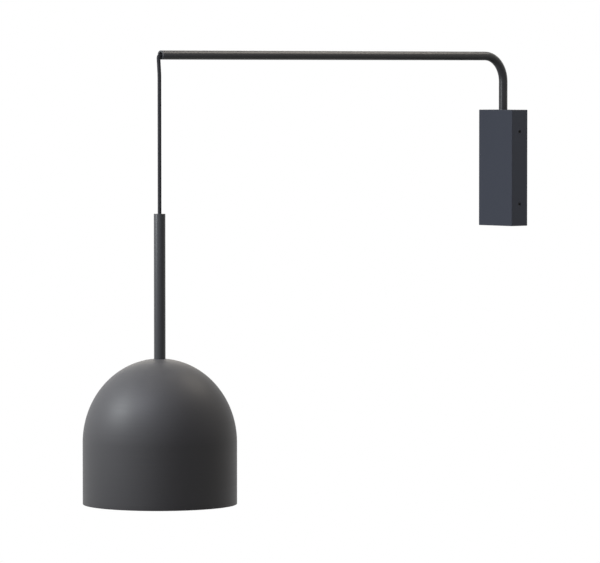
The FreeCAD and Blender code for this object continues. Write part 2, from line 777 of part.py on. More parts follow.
def make_terminal_block():
    """The three-way block on the bracket, its brass sleeves and its screws."""
    back = "(-bracket_sheet)"
    axis_y = "(-bracket_sheet - block_depth / 2)"
    low = "(-block_top - block_height)"
    solid = block(
        "terminal_solid",
        "block_width",
        "block_depth",
        "block_height",
        "-block_width / 2",
        f"{back} - block_depth",
        low,
    )
    holes = []
    sleeves = []
    screws = []
    for i, x in enumerate(block_ways()):
        holes.append(
            cylinder(f"way_{i}", "sleeve_diameter / 2 + thread_gap", "block_height", x, axis_y, low)
        )
        sleeve_z = f"{low} + sleeve_inset"
        sleeve_length = "block_height - 2 * sleeve_inset"
        outside = cylinder(f"sleeve_{i}", "sleeve_diameter / 2", sleeve_length, x, axis_y, sleeve_z)
        inside = cylinder(
            f"sleeve_bore_{i}", "wire_diameter / 2 + thread_gap", sleeve_length, x, axis_y, sleeve_z
        )
        sleeves.append(cut(f"sleeve_cut_{i}", outside, inside))
        for j, share in enumerate((0.25, 0.75)):
            z = f"{low} + block_height * {share}"
            holes.append(
                cylinder(
                    f"screw_way_{i}{j}",
                    "terminal_screw / 2 + thread_gap",
                    "block_depth / 2",
                    x,
                    axis_y,
                    z,
                    ALONG_MINUS_Y,
                )
            )
            seat_y = f"{axis_y} - sleeve_diameter / 2 - thread_gap"
            bar = cylinder(
                f"terminal_bar_{i}{j}",
                "terminal_screw / 2",
                "terminal_screw_length",
                x,
                seat_y,
                z,
                ALONG_MINUS_Y,
            )
            slot = block(
                f"terminal_slot_{i}{j}",
                "terminal_screw * 2",
                "terminal_screw_length / 4",
                "terminal_screw * 0.2",
                f"{x} - terminal_screw",
                f"{seat_y} - terminal_screw_length",
                f"{z} - terminal_screw * 0.1",
            )
            screws.append(cut(f"terminal_screw_{i}{j}", bar, slot))
    fixing_x = "block_pitch / 2"
    fixing_z = "(-block_top - block_height / 2)"
    front = f"({back} - block_depth)"
    holes.append(cylinder("fixing_way", SCREW_HOLE, "block_depth", fixing_x, front, fixing_z, ALONG_Y))
    shank = cylinder(
        "fixing_shank", "small_screw / 2", "block_depth + bracket_sheet", fixing_x, front, fixing_z, ALONG_Y
    )
    head = cylinder(
        "fixing_head",
        "small_screw_head / 2",
        "small_screw_head_height",
        fixing_x,
        front,
        fixing_z,
        ALONG_MINUS_Y,
    )
    node(cut("terminal_cut", solid, *holes), "terminal_block")
    node(group("sleeve_group", sleeves), "terminal_sleeves")
    node(group("terminal_screw_group", screws), "terminal_screws")
    node(fuse("fixing_bolt", shank, head), "terminal_block_screw")


def make_earth_point():
    """The ring tag and the screw that bond the bracket to earth."""
    z = "-earth_drop"
    front = "(-bracket_sheet)"
    ring = cylinder(
        "tag_ring", "earth_tag_diameter / 2", "earth_tag_sheet", "earth_x", front, z, ALONG_MINUS_Y
    )
    hole = cylinder(
        "tag_hole",
        "side_screw_thread / 2 + thread_gap",
        "earth_tag_sheet",
        "earth_x",
        front,
        z,
        ALONG_MINUS_Y,
    )
    node(cut("tag_cut", ring, hole), "earth_tag")
    tag_front = f"({front} - earth_tag_sheet)"
    shank = cylinder(
        "earth_shank",
        "side_screw_thread / 2",
        "bracket_sheet + earth_tag_sheet",
        "earth_x",
        tag_front,
        z,
        ALONG_Y,
    )
    head = cylinder(
        "earth_head",
        "earth_tag_diameter / 2 - wire_diameter / 4",
        "small_screw_head_height",
        "earth_x",
        tag_front,
        z,
        ALONG_MINUS_Y,
    )
    node(fuse("earth_bolt", shank, head), "earth_screw")


def make_box_wiring():
    """The cord's end in the box and the conductors that go on to the terminals."""
    start = at("0", SWIVEL_Y, SPINDLE_END)
    end = at("0", SWIVEL_Y, SHEATH_END)
    cord("box_cord", [start, end], [], number("cord_diameter"))
    wire = number("wire_diameter")
    way_y = "(-bracket_sheet - block_depth / 2)"
    way_top = "(-block_top - sleeve_inset * 3)"
    for label, side, way in (("live_wire", -1, 0), ("neutral_wire", 1, 1)):
        exit_x = f"{side} * wire_diameter * 0.6"
        way_x = block_ways()[way]
        points = [
            at(exit_x, SWIVEL_Y, SHEATH_END),
            at(exit_x, SWIVEL_Y, f"{SHEATH_END} - 3 * wire_diameter"),
            at(way_x, way_y, "-block_top + 3 * wire_diameter"),
            at(way_x, way_y, way_top),
        ]
        cord(label, points, widest_radii(points), wire)
    earth_x = block_ways()[2]
    tag_z = "(-earth_drop + earth_tag_diameter / 2)"
    tag_y = "(-bracket_sheet - wire_diameter / 2 - cord_clearance)"
    points = [
        at(earth_x, way_y, "-block_top - block_height + sleeve_inset * 3"),
        at(earth_x, way_y, "-block_top - block_height - 3 * wire_diameter"),
        at("earth_x", tag_y, f"{tag_z} + 3 * wire_diameter"),
        at("earth_x", tag_y, f"{tag_z} + cord_clearance"),
    ]
    cord("earth_wire", points, widest_radii(points), wire)


# The arm


def make_arm_tube():
    """The tube: up out of the box, round the bend and out to its cut end."""
    body = body_named("arm_tube")
    route = sketch_on(body, "arm_route", "YZ_Plane")
    stations = [
        ("0", TUBE_FOOT),
        ("0", f"{ARM_Z} - arm_bend"),
        ("-arm_bend", ARM_Z),
        ("-arm_reach", ARM_Z),
    ]
    foot, bend_start, bend_end, end = [Vector(number(y), number(z), 0) for y, z in stations]
    centre = Vector(bend_end.x, bend_start.y, 0)
    diagonal = (bend_start - centre + bend_end - centre).normalize()
    middle = centre + diagonal * number("arm_bend")
    route.addGeometry(Part.LineSegment(foot, bend_start), False)
    route.addGeometry(Part.Arc(bend_start, middle, bend_end), False)
    route.addGeometry(Part.LineSegment(bend_end, end), False)
    arc_order = (1, 2) if (route.Geometry[1].StartPoint - bend_start).Length < 1e-6 else (2, 1)
    route.addConstraint(Sketcher.Constraint("Coincident", 0, 2, 1, arc_order[0]))
    route.addConstraint(Sketcher.Constraint("Coincident", 1, arc_order[1], 2, 1))
    fix_distance(route, "DistanceY", 1, 3, f"{ARM_Z} - arm_bend")
    fix_point(route, 0, 1, *stations[0])
    fix_point(route, 0, 2, *stations[1])
    fix_point(route, 2, 1, *stations[2])
    fix_point(route, 2, 2, *stations[3])
    section = sketch_on(body, "arm_section", "XY_Plane", TUBE_FOOT)
    circle(section, "tube_diameter / 2")
    circle(section, "tube_diameter / 2 - tube_wall")
    pipe = body.newObject("PartDesign::AdditivePipe", "arm_pipe")
    pipe.Profile = section
    pipe.Spine = (route, ["Edge1", "Edge2", "Edge3"])
    place(body, y=SWIVEL_Y)
    document.recompute()


def make_arm_end_liner():
    """The liner in the tube's cut end, flared so that the cord lies soft over its lip."""
    inner = "(tube_diameter / 2 - tube_wall - liner_wall)"
    outer = "(tube_diameter / 2 - tube_wall - thread_gap)"
    turned(
        "arm_end_liner",
        [
            (inner, "-liner_length"),
            (outer, "-liner_length"),
            (outer, "0"),
            (f"{inner} + liner_flare", "0"),
            (inner, "-liner_throat"),
        ],
        y=ARM_END_Y,
        z=ARM_Z,
        turn=ALONG_MINUS_Y,
    )


def lip_points():
    """The corner of the cord's route over the lip, the next point down, and the arc's end."""
    corner = at("0", f"{ARM_END_Y} - lip_offset", CORD_IN_LINER_Z)
    plumb = at("0", PLUMB_Y, f"{ARM_Z} - kink_drop")
    down = (plumb - corner).normalize()
    half_angle = down.getAngle(Vector(0, 1, 0)) / 2
    arc_end = corner + down * (number("lip_bend") / math.tan(half_angle))
    return corner, plumb, arc_end


def make_arm_cord():
    """The cord held by the arm: from the spindle's end to where it has passed over the lip."""
    corner, plumb, arc_end = lip_points()
    sag = corner.z - number(ARM_Z)
    leg_y = number(SWIVEL_Y) + sag
    points = [
        at("0", SWIVEL_Y, SPINDLE_END),
        at("0", SWIVEL_Y, f"{FLOOR_TOP} + cord_leg_low"),
        Vector(0, leg_y, number(f"{FLOOR_TOP} + cord_leg_high")),
        Vector(0, leg_y, corner.z),
        corner,
        arc_end,
    ]
    soft_bends = widest_radii(points[:4])
    radii = soft_bends + [number("arm_bend") + sag, number("lip_bend")]
    cord("arm_cord", points, radii, number("cord_diameter"))


# The free cord


def make_free_cord():
    """The hanging cord in three stretches, which meet face to face."""
    corner, plumb, arc_end = lip_points()
    diameter = number("cord_diameter")
    upper_end = at("0", PLUMB_Y, UPPER_END)
    middle_end = at("0", PLUMB_Y, MIDDLE_END)
    lower_end = at("0", PLUMB_Y, STEM_TOP)
    upper = [arc_end, plumb, upper_end]
    cord("cord_upper", upper, widest_radii(upper), diameter)
    cord("cord_middle", [upper_end, middle_end], [], diameter)
    cord("cord_lower", [middle_end, lower_end], [], diameter)
    print("free cord leaves the arm at", arc_end)


# The pendant


def make_stem():
    """The stem tube, the plug in its top, and the ferrule that hangs it on the cord."""
    inner = "(stem_diameter / 2 - stem_wall)"
    outer = "(stem_diameter / 2)"
    turned(
        "stem_tube",
        [
            (inner, SHADE_TOP),
            (outer, SHADE_TOP),
            (outer, f"{STEM_TOP} - stem_edge"),
            (f"{outer} - stem_edge", STEM_TOP),
            (inner, STEM_TOP),
        ],
        y=PLUMB_Y,
    )
    turned(
        "stem_top_plug",
        [
            ("plug_hole / 2", f"{STEM_TOP} - plug_length"),
            (f"{inner} - thread_gap", f"{STEM_TOP} - plug_length"),
            (f"{inner} - thread_gap", STEM_TOP),
            ("plug_mouth / 2", STEM_TOP),
            ("plug_hole / 2", f"{STEM_TOP} - plug_mouth_depth"),
        ],
        y=PLUMB_Y,
    )
    ferrule_top = f"({STEM_TOP} - plug_length)"
    ferrule = tube_profile(
        "cord_diameter / 2 + thread_gap",
        "ferrule_diameter / 2",
        f"{ferrule_top} - ferrule_length",
        ferrule_top,
    )
    turned("cord_ferrule", ferrule, y=PLUMB_Y)
    foot = tube_profile(NUT_HOLE, f"{inner} - thread_gap", SHADE_TOP, f"{SHADE_TOP} + foot_length")
    turned("stem_foot_insert", foot, y=PLUMB_Y)
    start = at("0", PLUMB_Y, STEM_TOP)
    end = at("0", PLUMB_Y, f"{SHADE_TOP} - nipple_below - cap_wall")
    cord("stem_cord", [start, end], [], number("cord_diameter"))


def dome_arc(radius, rise, seat, equator_z):
    """The quarter ellipse of the dome, from its seat's edge down to the equator."""
    centre = Vector(0, 0, equator_z)
    if rise >= radius:
        ellipse = Part.Ellipse(centre + Vector(0, 0, rise), centre + Vector(radius, 0, 0), centre)
    else:
        ellipse = Part.Ellipse(centre + Vector(radius, 0, 0), centre + Vector(0, 0, rise), centre)
    height = equator_z + rise * math.sqrt(1 - (seat / radius) ** 2)
    seat_edge = Vector(seat, 0, height)
    equator = Vector(radius, 0, equator_z)
    halfway = Vector(radius * math.sqrt(0.5), 0, equator_z + rise * math.sqrt(0.5))
    marks = [ellipse.parameter(point) for point in (seat_edge, halfway, equator)]
    low, high = min(marks[0], marks[2]), max(marks[0], marks[2])
    if not low < marks[1] < high:
        low, high = high, low + 2 * math.pi
    return Part.ArcOfEllipse(ellipse, low, high).toShape(), seat_edge


def make_shade():
    """The spun shade: a flat seat, an elliptical dome and a straight skirt."""
    radius = number("shade_diameter / 2")
    wall = number("shade_wall")
    seat = number("shade_seat / 2")
    hole = number(f"{NUT_HOLE} + nipple_hole_gap")
    rim = min(number("shade_rim"), wall * 0.45)
    top = 0.0
    bottom = -number("shade_height")
    equator_z = -number("shade_dome")
    rise = -equator_z / math.sqrt(1 - (seat / radius) ** 2)
    outer_arc, outer_seat = dome_arc(radius, rise, seat, equator_z)
    inner_rise = rise - wall
    inner_seat = (radius - wall) * math.sqrt(1 - ((-equator_z - wall) / inner_rise) ** 2)
    inner_arc, inner_edge = dome_arc(radius - wall, inner_rise, inner_seat, equator_z)
    low_outer = Vector(radius, 0, bottom + rim)
    rim_outer = Vector(radius - rim, 0, bottom)
    rim_inner = Vector(radius - wall + rim, 0, bottom)
    low_inner = Vector(radius - wall, 0, bottom + rim)
    corner_share = rim * (1 - math.sqrt(0.5))
    outer_middle = Vector(radius - corner_share, 0, bottom + corner_share)
    inner_middle = Vector(radius - wall + corner_share, 0, bottom + corner_share)
    edges = [
        Part.LineSegment(Vector(hole, 0, top), outer_seat).toShape(),
        outer_arc,
        Part.LineSegment(Vector(radius, 0, equator_z), low_outer).toShape(),
        Part.Arc(low_outer, outer_middle, rim_outer).toShape(),
        Part.LineSegment(rim_outer, rim_inner).toShape(),
        Part.Arc(rim_inner, inner_middle, low_inner).toShape(),
        Part.LineSegment(low_inner, Vector(radius - wall, 0, equator_z)).toShape(),
        inner_arc,
        Part.LineSegment(inner_edge, Vector(hole, 0, top - wall)).toShape(),
        Part.LineSegment(Vector(hole, 0, top - wall), Vector(hole, 0, top)).toShape(),
    ]
    face = Part.Face(Part.Wire(Part.__sortEdges__(edges)))
    shade = document.addObject("Part::Feature", "shade")
    shade.Shape = face.revolve(Vector(0, 0, 0), Vector(0, 0, 1), 360)
    place(shade, y=PLUMB_Y, z=SHADE_TOP)
    node(shade, "shade")


def make_shade_fixing():
    """The nipple from the stem to the lamp holder, with washer and nut under the shade."""
    nipple = tube_profile(
        "nipple_bore / 2",
        "spindle_diameter / 2",
        f"{SHADE_TOP} - nipple_below",
        f"{SHADE_TOP} + nipple_above",
    )
    turned("nipple", nipple, y=PLUMB_Y)
    washer_top = f"({SHADE_TOP} - shade_wall)"
    washer = tube_profile(
        f"{NUT_HOLE} + nipple_hole_gap", "washer_diameter / 2", f"{washer_top} - washer_height", washer_top
    )
    turned("shade_washer", washer, y=PLUMB_Y)
    nut_z = f"{washer_top} - washer_height - nut_height"
    blank = hexagon("shade_nut_blank", "nut_flats", "nut_height", "0", PLUMB_Y, nut_z)
    thread = cylinder("shade_nut_thread", NUT_HOLE, "nut_height", "0", PLUMB_Y, nut_z)
    node(cut("shade_nut_cut", blank, thread), "shade_nut")


CAP_TOP = f"({SHADE_TOP} - cap_top)"
CAP_END = f"({CAP_TOP} - cap_height)"
INSERT_TOP = f"({CAP_END} - body_gap)"
INSERT_END = f"({INSERT_TOP} - insert_height)"
HOLDER_TOP = f"({CAP_END} + holder_overlap)"
BULB_TOP = f"({INSERT_END} - contact_height - cord_clearance)"
BULB_CAP_TOP = f"({BULB_TOP} - bulb_tip)"
COLLAR_TOP = f"({BULB_CAP_TOP} - bulb_cap_length)"
HOLDER_END = f"({COLLAR_TOP} + body_gap)"
GLOBE_TOP = f"({COLLAR_TOP} - collar_length)"


def make_lamp_holder():
    """The lamp holder: cap, ceramic insert with its contacts, thread and outer body."""
    cap_outer = "(cap_diameter / 2)"
    cap_inner = "(cap_diameter / 2 - cap_wall)"
    turned(
        "holder_cap",
        [
            (NUT_HOLE, CAP_TOP),
            (f"{cap_outer} - cap_shoulder", CAP_TOP),
            (cap_outer, f"{CAP_TOP} - cap_shoulder"),
            (cap_outer, CAP_END),
            (cap_inner, CAP_END),
            (cap_inner, f"{CAP_TOP} - cap_shoulder - cap_wall / 2"),
            (f"{cap_inner} - cap_shoulder + cap_wall / 2", f"{CAP_TOP} - cap_wall"),
            ("cap_boss / 2", f"{CAP_TOP} - cap_wall"),
            ("cap_boss / 2", f"{CAP_TOP} - cap_boss_height"),
            (NUT_HOLE, f"{CAP_TOP} - cap_boss_height"),
        ],
        y=PLUMB_Y,
    )
    body_inner = f"({cap_outer} + body_gap)"
    body_outer = f"({body_inner} + holder_wall)"
    mouth = "(thread_shell / 2 + body_gap)"
    turned(
        "holder_body",
        [
            (body_inner, HOLDER_TOP),
            (body_outer, HOLDER_TOP),
            (body_outer, f"{HOLDER_END} + holder_wall / 2"),
            (f"{body_outer} - holder_wall / 2", HOLDER_END),
            (mouth, HOLDER_END),
            (mouth, f"{HOLDER_END} + holder_wall"),
            (body_inner, f"{HOLDER_END} + holder_wall * 2"),
        ],
        y=PLUMB_Y,
    )
    disc = cylinder("insert_disc", f"{cap_outer}", "insert_height", "0", PLUMB_Y, INSERT_END)
    sleeves = []
    pockets = []
    for i, side in enumerate((-1, 1)):
        spot = (f"{side} * insert_terminal", PLUMB_Y, f"{INSERT_TOP} - pocket_depth")
        pockets.append(
            cylinder(f"insert_pocket_{i}", "sleeve_diameter / 2 + thread_gap", "pocket_depth", *spot)
        )
        outside = cylinder(f"holder_sleeve_{i}", "sleeve_diameter / 2", "pocket_depth + 1", *spot)
        inside = cylinder(
            f"holder_sleeve_bore_{i}", "wire_diameter / 2 + thread_gap", "pocket_depth + 1", *spot
        )
        sleeves.append(cut(f"holder_sleeve_cut_{i}", outside, inside))
    node(cut("insert_cut", disc, *pockets), "holder_insert")
    node(group("holder_sleeve_group", sleeves), "holder_terminals")
    contact = [
        ("0", f"{INSERT_END} - contact_height"),
        ("contact_diameter / 4", f"{INSERT_END} - contact_height"),
        ("contact_diameter / 2", f"{INSERT_END} - contact_height / 2"),
        ("contact_diameter / 2", INSERT_END),
        ("0", INSERT_END),
    ]
    turned("holder_contact", contact, y=PLUMB_Y)
    shell = tube_profile(
        "thread_shell / 2 - thread_sheet",
        "thread_shell / 2",
        f"{INSERT_END} - thread_length",
        INSERT_END,
    )
    turned("holder_thread", shell, y=PLUMB_Y)


def make_holder_wires():
    """Two conductors from the cord's end to the insert's terminals."""
    cord_end = f"({SHADE_TOP} - nipple_below - cap_wall)"
    for label, side in (("holder_live_wire", -1), ("holder_neutral_wire", 1)):
        exit_x = f"{side} * wire_diameter * 0.6"
        way_x = f"{side} * insert_terminal"
        points = [
            at(exit_x, PLUMB_Y, cord_end),
            at(exit_x, PLUMB_Y, f"{cord_end} - wire_diameter * 2"),
            at(way_x, PLUMB_Y, f"{INSERT_TOP} + wire_diameter * 2.5"),
            at(way_x, PLUMB_Y, f"{INSERT_TOP} - pocket_depth / 2"),
        ]
        cord(label, points, widest_radii(points), number("wire_diameter"))


def make_bulb():
    """The lamp that such a holder takes: cap, tip contact, collar and opal globe."""
    cap_outer = "(bulb_cap_diameter / 2)"
    turned(
        "bulb_cap",
        [
            (f"{cap_outer} - bulb_cap_sheet", COLLAR_TOP),
            (cap_outer, COLLAR_TOP),
            (cap_outer, f"{BULB_CAP_TOP} - bulb_tip"),
            ("contact_diameter / 2 + bulb_tip", BULB_CAP_TOP),
            ("contact_diameter / 2", BULB_CAP_TOP),
            ("contact_diameter / 2", f"{BULB_CAP_TOP} - bulb_cap_sheet"),
            ("contact_diameter / 2 + bulb_tip", f"{BULB_CAP_TOP} - bulb_cap_sheet"),
            (f"{cap_outer} - bulb_cap_sheet", f"{BULB_CAP_TOP} - bulb_tip - bulb_cap_sheet"),
        ],
        y=PLUMB_Y,
    )
    tip = "contact_diameter / 2 - thread_gap"
    turned(
        "bulb_contact",
        [
            ("0", f"{BULB_CAP_TOP} - bulb_cap_sheet"),
            (tip, f"{BULB_CAP_TOP} - bulb_cap_sheet"),
            (tip, f"{BULB_TOP} - bulb_tip / 2"),
            ("contact_diameter / 4", BULB_TOP),
            ("0", BULB_TOP),
        ],
        y=PLUMB_Y,
    )
    step = "(collar_length / 3)"
    turned(
        "bulb_collar",
        [
            ("0", COLLAR_TOP),
            (f"{cap_outer} + 1", COLLAR_TOP),
            (f"{cap_outer} + 2", f"{COLLAR_TOP} - 1"),
            (f"{cap_outer} + 3", f"{COLLAR_TOP} - {step}"),
            ("collar_mouth * 0.4", f"{COLLAR_TOP} - 2 * {step}"),
            ("collar_mouth / 2", GLOBE_TOP),
            ("0", GLOBE_TOP),
        ],
        y=PLUMB_Y,
    )
    make_globe()


def make_globe():
    """The opal globe, cut off where the collar holds it."""
    radius = "(globe_diameter / 2)"
    inner = f"({radius} - globe_wall)"
    neck = "(collar_mouth / 2)"
    centre_z = f"({GLOBE_TOP} - sqrt({radius} ^ 2 - {neck} ^ 2))"
    ball = document.addObject("Part::Sphere", "globe_ball")
    hollow = document.addObject("Part::Sphere", "globe_hollow")
    for sphere, size in ((ball, radius), (hollow, inner)):
        sphere.setExpression("Radius", bound(size))
        place(sphere, y=PLUMB_Y, z=centre_z)
    lid = cylinder("globe_lid", radius, radius, "0", PLUMB_Y, GLOBE_TOP)
    node(cut("globe_cut", ball, hollow, lid), "bulb_globe")


# Building, checking and writing


def check_objects():
    """Stops if any object of the document failed, or a sub-part isn't a valid shape."""
    failed = [o.Name for o in document.Objects if {"Invalid", "Error"} & set(o.State)]
    broken = [o.Label for o in nodes if o.Shape.isNull() or not o.Shape.isValid()]
    empty = [o.Label for o in nodes if not o.Shape.Solids]
    if failed or broken or empty:
        raise RuntimeError(f"failed {failed}, not valid {broken}, without a solid {empty}")


def write_nodes():
    """Writes each sub-part to its own file."""
    os.makedirs("parts", exist_ok=True)
    for thing in nodes:
        thing.Shape.exportStep(os.path.join("parts", f"{thing.Label}.step"))
        print(f"{thing.Label}: {len(thing.Shape.Solids)} solid(s), {thing.Shape.Volume:.0f} mm3")
    print(len(nodes), "nodes")


fill_sheet()
make_wall_bracket()
make_box_screws()
make_wall_box()
make_cable_grommet()
make_pivot_housing()
make_swivel()
make_cord_clamp()
make_terminal_block()
make_earth_point()
make_box_wiring()
make_arm_tube()
make_arm_end_liner()
make_arm_cord()
make_free_cord()
make_stem()
make_shade()
make_shade_fixing()
make_lamp_holder()
make_holder_wires()
make_bulb()
document.recompute()
check_objects()
write_nodes()
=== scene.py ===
"""Hanging pendant wall light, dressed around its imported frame.

Everything is in metres in the frame's own axes: +Z is up, the wall is the plane y = 0, and the
light stands out from it along -Y.
"""

import json
import logging
import math
from dataclasses import dataclass, field
from enum import Enum
from typing import Iterable

import bpy
from mathutils import Matrix, Vector


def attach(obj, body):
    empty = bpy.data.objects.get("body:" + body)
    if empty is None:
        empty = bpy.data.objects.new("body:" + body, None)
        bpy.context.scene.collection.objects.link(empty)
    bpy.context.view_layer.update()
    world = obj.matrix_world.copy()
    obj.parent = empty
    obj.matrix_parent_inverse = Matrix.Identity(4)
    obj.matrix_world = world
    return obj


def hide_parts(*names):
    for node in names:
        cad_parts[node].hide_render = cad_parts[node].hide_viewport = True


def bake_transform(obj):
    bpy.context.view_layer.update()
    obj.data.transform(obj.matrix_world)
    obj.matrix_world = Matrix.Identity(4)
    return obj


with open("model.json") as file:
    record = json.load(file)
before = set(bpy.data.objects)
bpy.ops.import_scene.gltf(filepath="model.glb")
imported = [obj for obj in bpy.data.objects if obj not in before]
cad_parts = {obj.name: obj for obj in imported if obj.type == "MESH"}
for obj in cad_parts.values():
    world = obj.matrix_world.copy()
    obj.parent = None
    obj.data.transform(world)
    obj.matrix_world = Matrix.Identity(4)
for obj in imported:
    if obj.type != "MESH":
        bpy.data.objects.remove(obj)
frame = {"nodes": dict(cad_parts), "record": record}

log = logging.getLogger("pendant_wall_light")
Point = tuple[float, float, float]
Colour = tuple[float, float, float]
DUST: Colour = (0.3, 0.29, 0.27)
WHITE = (1.0, 1.0, 1.0, 1.0)


class Slot(Enum):
    """The record's material slots."""

    BOX = "box_paint"
    TUBE = "tube_paint"
    SHADE = "shade_metal"
    CORD = "cord_textile"
    ZINC = "zinc_steel"
    BLACK_STEEL = "black_steel"
    RUBBER = "black_rubber"
    BLACK_PLASTIC = "black_plastic"
    WHITE_PLASTIC = "white_plastic"
    NYLON = "natural_nylon"
    CERAMIC = "white_ceramic"
    BRASS = "brass"
    NICKEL = "nickelled_brass"
    TINNED = "tinned_copper"
    BROWN_WIRE = "wire_brown"
    BLUE_WIRE = "wire_blue"
    EARTH_WIRE = "wire_green_yellow"
    OPAL = "opal_glass"


class Effect(Enum):
    """The shared effects, each a shader node group."""

    GRAIN = "fine_grain"
    TURNED = "turned_lines"
    # Lighter sharp edges: partly worn paint, partly a painted edge highlight.
    WEAR_AND_HIGHLIGHT = "edge_wear_and_highlight"
    WEAVE = "braided_weave"
    SETTLED = "settled_dust"


# Shader node groups


@dataclass
class GroupBuilder:
    """Builds one shader node group with named inputs and outputs."""

    effect: Effect
    inputs: dict[str, float]
    outputs: tuple[str, ...]
    tree: bpy.types.NodeTree = field(init=False)
    entry: bpy.types.Node = field(init=False)
    exit: bpy.types.Node = field(init=False)

    def __post_init__(self) -> None:
        """Makes the group's tree and its sockets."""
        self.tree = bpy.data.node_groups.new(self.effect.value, "ShaderNodeTree")
        for name, value in self.inputs.items():
            socket = self.tree.interface.new_socket(name, in_out="INPUT", socket_type="NodeSocketFloat")
            socket.default_value = value
        for name in self.outputs:
            self.tree.interface.new_socket(name, in_out="OUTPUT", socket_type="NodeSocketFloat")
        self.entry = self.tree.nodes.new("NodeGroupInput")
        self.exit = self.tree.nodes.new("NodeGroupOutput")

    def node(self, kind: str, **settings: object) -> bpy.types.Node:
        """Adds a node and sets its properties.

        Args:
            kind: the node's type.
            settings: properties of the node, by name.

        Returns:
            The node.
        """
        added = self.tree.nodes.new(kind)
        for name, value in settings.items():
            setattr(added, name, value)
        return added

    def link(self, source: bpy.types.NodeSocket, target: bpy.types.NodeSocket) -> None:
        """Joins an output to an input."""
        self.tree.links.new(source, target)

    def maths(self, operation: str, *values: object) -> bpy.types.NodeSocket:
        """Adds a Math node.

        Args:
            operation: the node's operation.
            values: its inputs, each a socket or a number.

        Returns:
            The node's output.
        """
        added = self.node("ShaderNodeMath", operation=operation)
        for place, value in enumerate(values):
            if isinstance(value, bpy.types.NodeSocket):
                self.link(value, added.inputs[place])
            else:
                added.inputs[place].default_value = value
        return added.outputs[0]

    def noise(
        self, place: bpy.types.NodeSocket, scale: object, detail: float = 2.0, roughness: float = 0.5
    ) -> bpy.types.NodeSocket:
        """Adds a Noise Texture node.

        Args:
            place: where the noise is read.
            scale: its scale, a socket or a number.
            detail: its detail.
            roughness: its roughness.

        Returns:
            The noise, from 0 to 1.
        """
        added = self.node("ShaderNodeTexNoise")
        added.inputs["Detail"].default_value = detail
        added.inputs["Roughness"].default_value = roughness
        self.link(place, added.inputs["Vector"])
        if isinstance(scale, bpy.types.NodeSocket):
            self.link(scale, added.inputs["Scale"])
        else:
            added.inputs["Scale"].default_value = scale
        return added.outputs["Fac"]

    def weigh(
        self, first: bpy.types.NodeSocket, second: bpy.types.NodeSocket, share: float
    ) -> bpy.types.NodeSocket:
        """Adds two values, the first by a share and the second by the rest."""
        rest = self.maths("MULTIPLY", second, 1 - share)
        return self.maths("MULTIPLY_ADD", first, share, rest)

    def position(self) -> bpy.types.NodeSocket:
        """The place on the object, in the frame's own axes."""
        return self.node("ShaderNodeTexCoord").outputs["Object"]


def build_fine_grain() -> None:
    """Powder coat and moulded surfaces: fine pimples, and a slow drift of tone."""
    pimples_share = 0.35
    group = GroupBuilder(Effect.GRAIN, {"Scale": 1800.0, "Drift": 14.0}, ("Height", "Tone"))
    place = group.position()
    fine = group.noise(place, group.entry.outputs["Scale"])
    slow = group.noise(place, group.entry.outputs["Drift"], detail=3.0)
    group.link(fine, group.exit.inputs["Height"])
    group.link(group.weigh(fine, slow, pimples_share), group.exit.inputs["Tone"])


def build_turned_lines() -> None:
    """The fine rings that spinning or turning leaves round an upright axis."""
    contrast = 1.6
    middle = 0.5
    group = GroupBuilder(Effect.TURNED, {"Lines": 900.0, "Around": 6.0}, ("Height", "Tone"))
    parts = group.node("ShaderNodeSeparateXYZ")
    group.link(group.position(), parts.inputs[0])
    merged = group.node("ShaderNodeCombineXYZ")
    for axis, scale in (("X", "Around"), ("Y", "Around"), ("Z", "Lines")):
        scaled = group.maths("MULTIPLY", parts.outputs[axis], group.entry.outputs[scale])
        group.link(scaled, merged.inputs[axis])
    lines = group.noise(merged.outputs[0], 1.0, detail=3.0, roughness=0.65)
    group.link(lines, group.exit.inputs["Height"])
    centred = group.maths("SUBTRACT", lines, middle)
    group.link(group.maths("MULTIPLY_ADD", centred, contrast, middle), group.exit.inputs["Tone"])


def build_edge_wear_and_highlight() -> None:
    """A mask that is high along sharp outer edges: partly worn paint, and partly a painted highlight along
    the edges.
    """
    spot_scale = 260.0
    group = GroupBuilder(Effect.WEAR_AND_HIGHLIGHT, {"Width": 0.0006, "Gain": 2.0}, ("Mask",))
    shape = group.node("ShaderNodeNewGeometry")
    rounded = group.node("ShaderNodeBevel", samples=4)
    group.link(group.entry.outputs["Width"], rounded.inputs["Radius"])
    likeness = group.node("ShaderNodeVectorMath", operation="DOT_PRODUCT")
    group.link(shape.outputs["Normal"], likeness.inputs[0])
    group.link(rounded.outputs["Normal"], likeness.inputs[1])
    unlike = group.maths("SUBTRACT", 1.0, likeness.outputs["Value"])
    turned = group.maths("MULTIPLY", unlike, group.entry.outputs["Gain"])
    clipped = group.maths("MINIMUM", group.maths("MAXIMUM", turned, 0.0), 1.0)
    spots = group.noise(group.position(), spot_scale)
    group.link(group.maths("MULTIPLY", clipped, spots), group.exit.inputs["Mask"])


def build_braided_weave() -> None:
    """The tone of a braid's yarns, finer than the braid's own bumps."""
    tuft_scale = 420.0
    tufts_share = 0.6
    group = GroupBuilder(Effect.WEAVE, {"Yarn": 3200.0}, ("Height", "Tone"))
    place = group.position()
    yarn = group.noise(place, group.entry.outputs["Yarn"])
    tufts = group.noise(place, tuft_scale)
    group.link(yarn, group.exit.inputs["Height"])
    group.link(group.weigh(tufts, yarn, tufts_share), group.exit.inputs["Tone"])


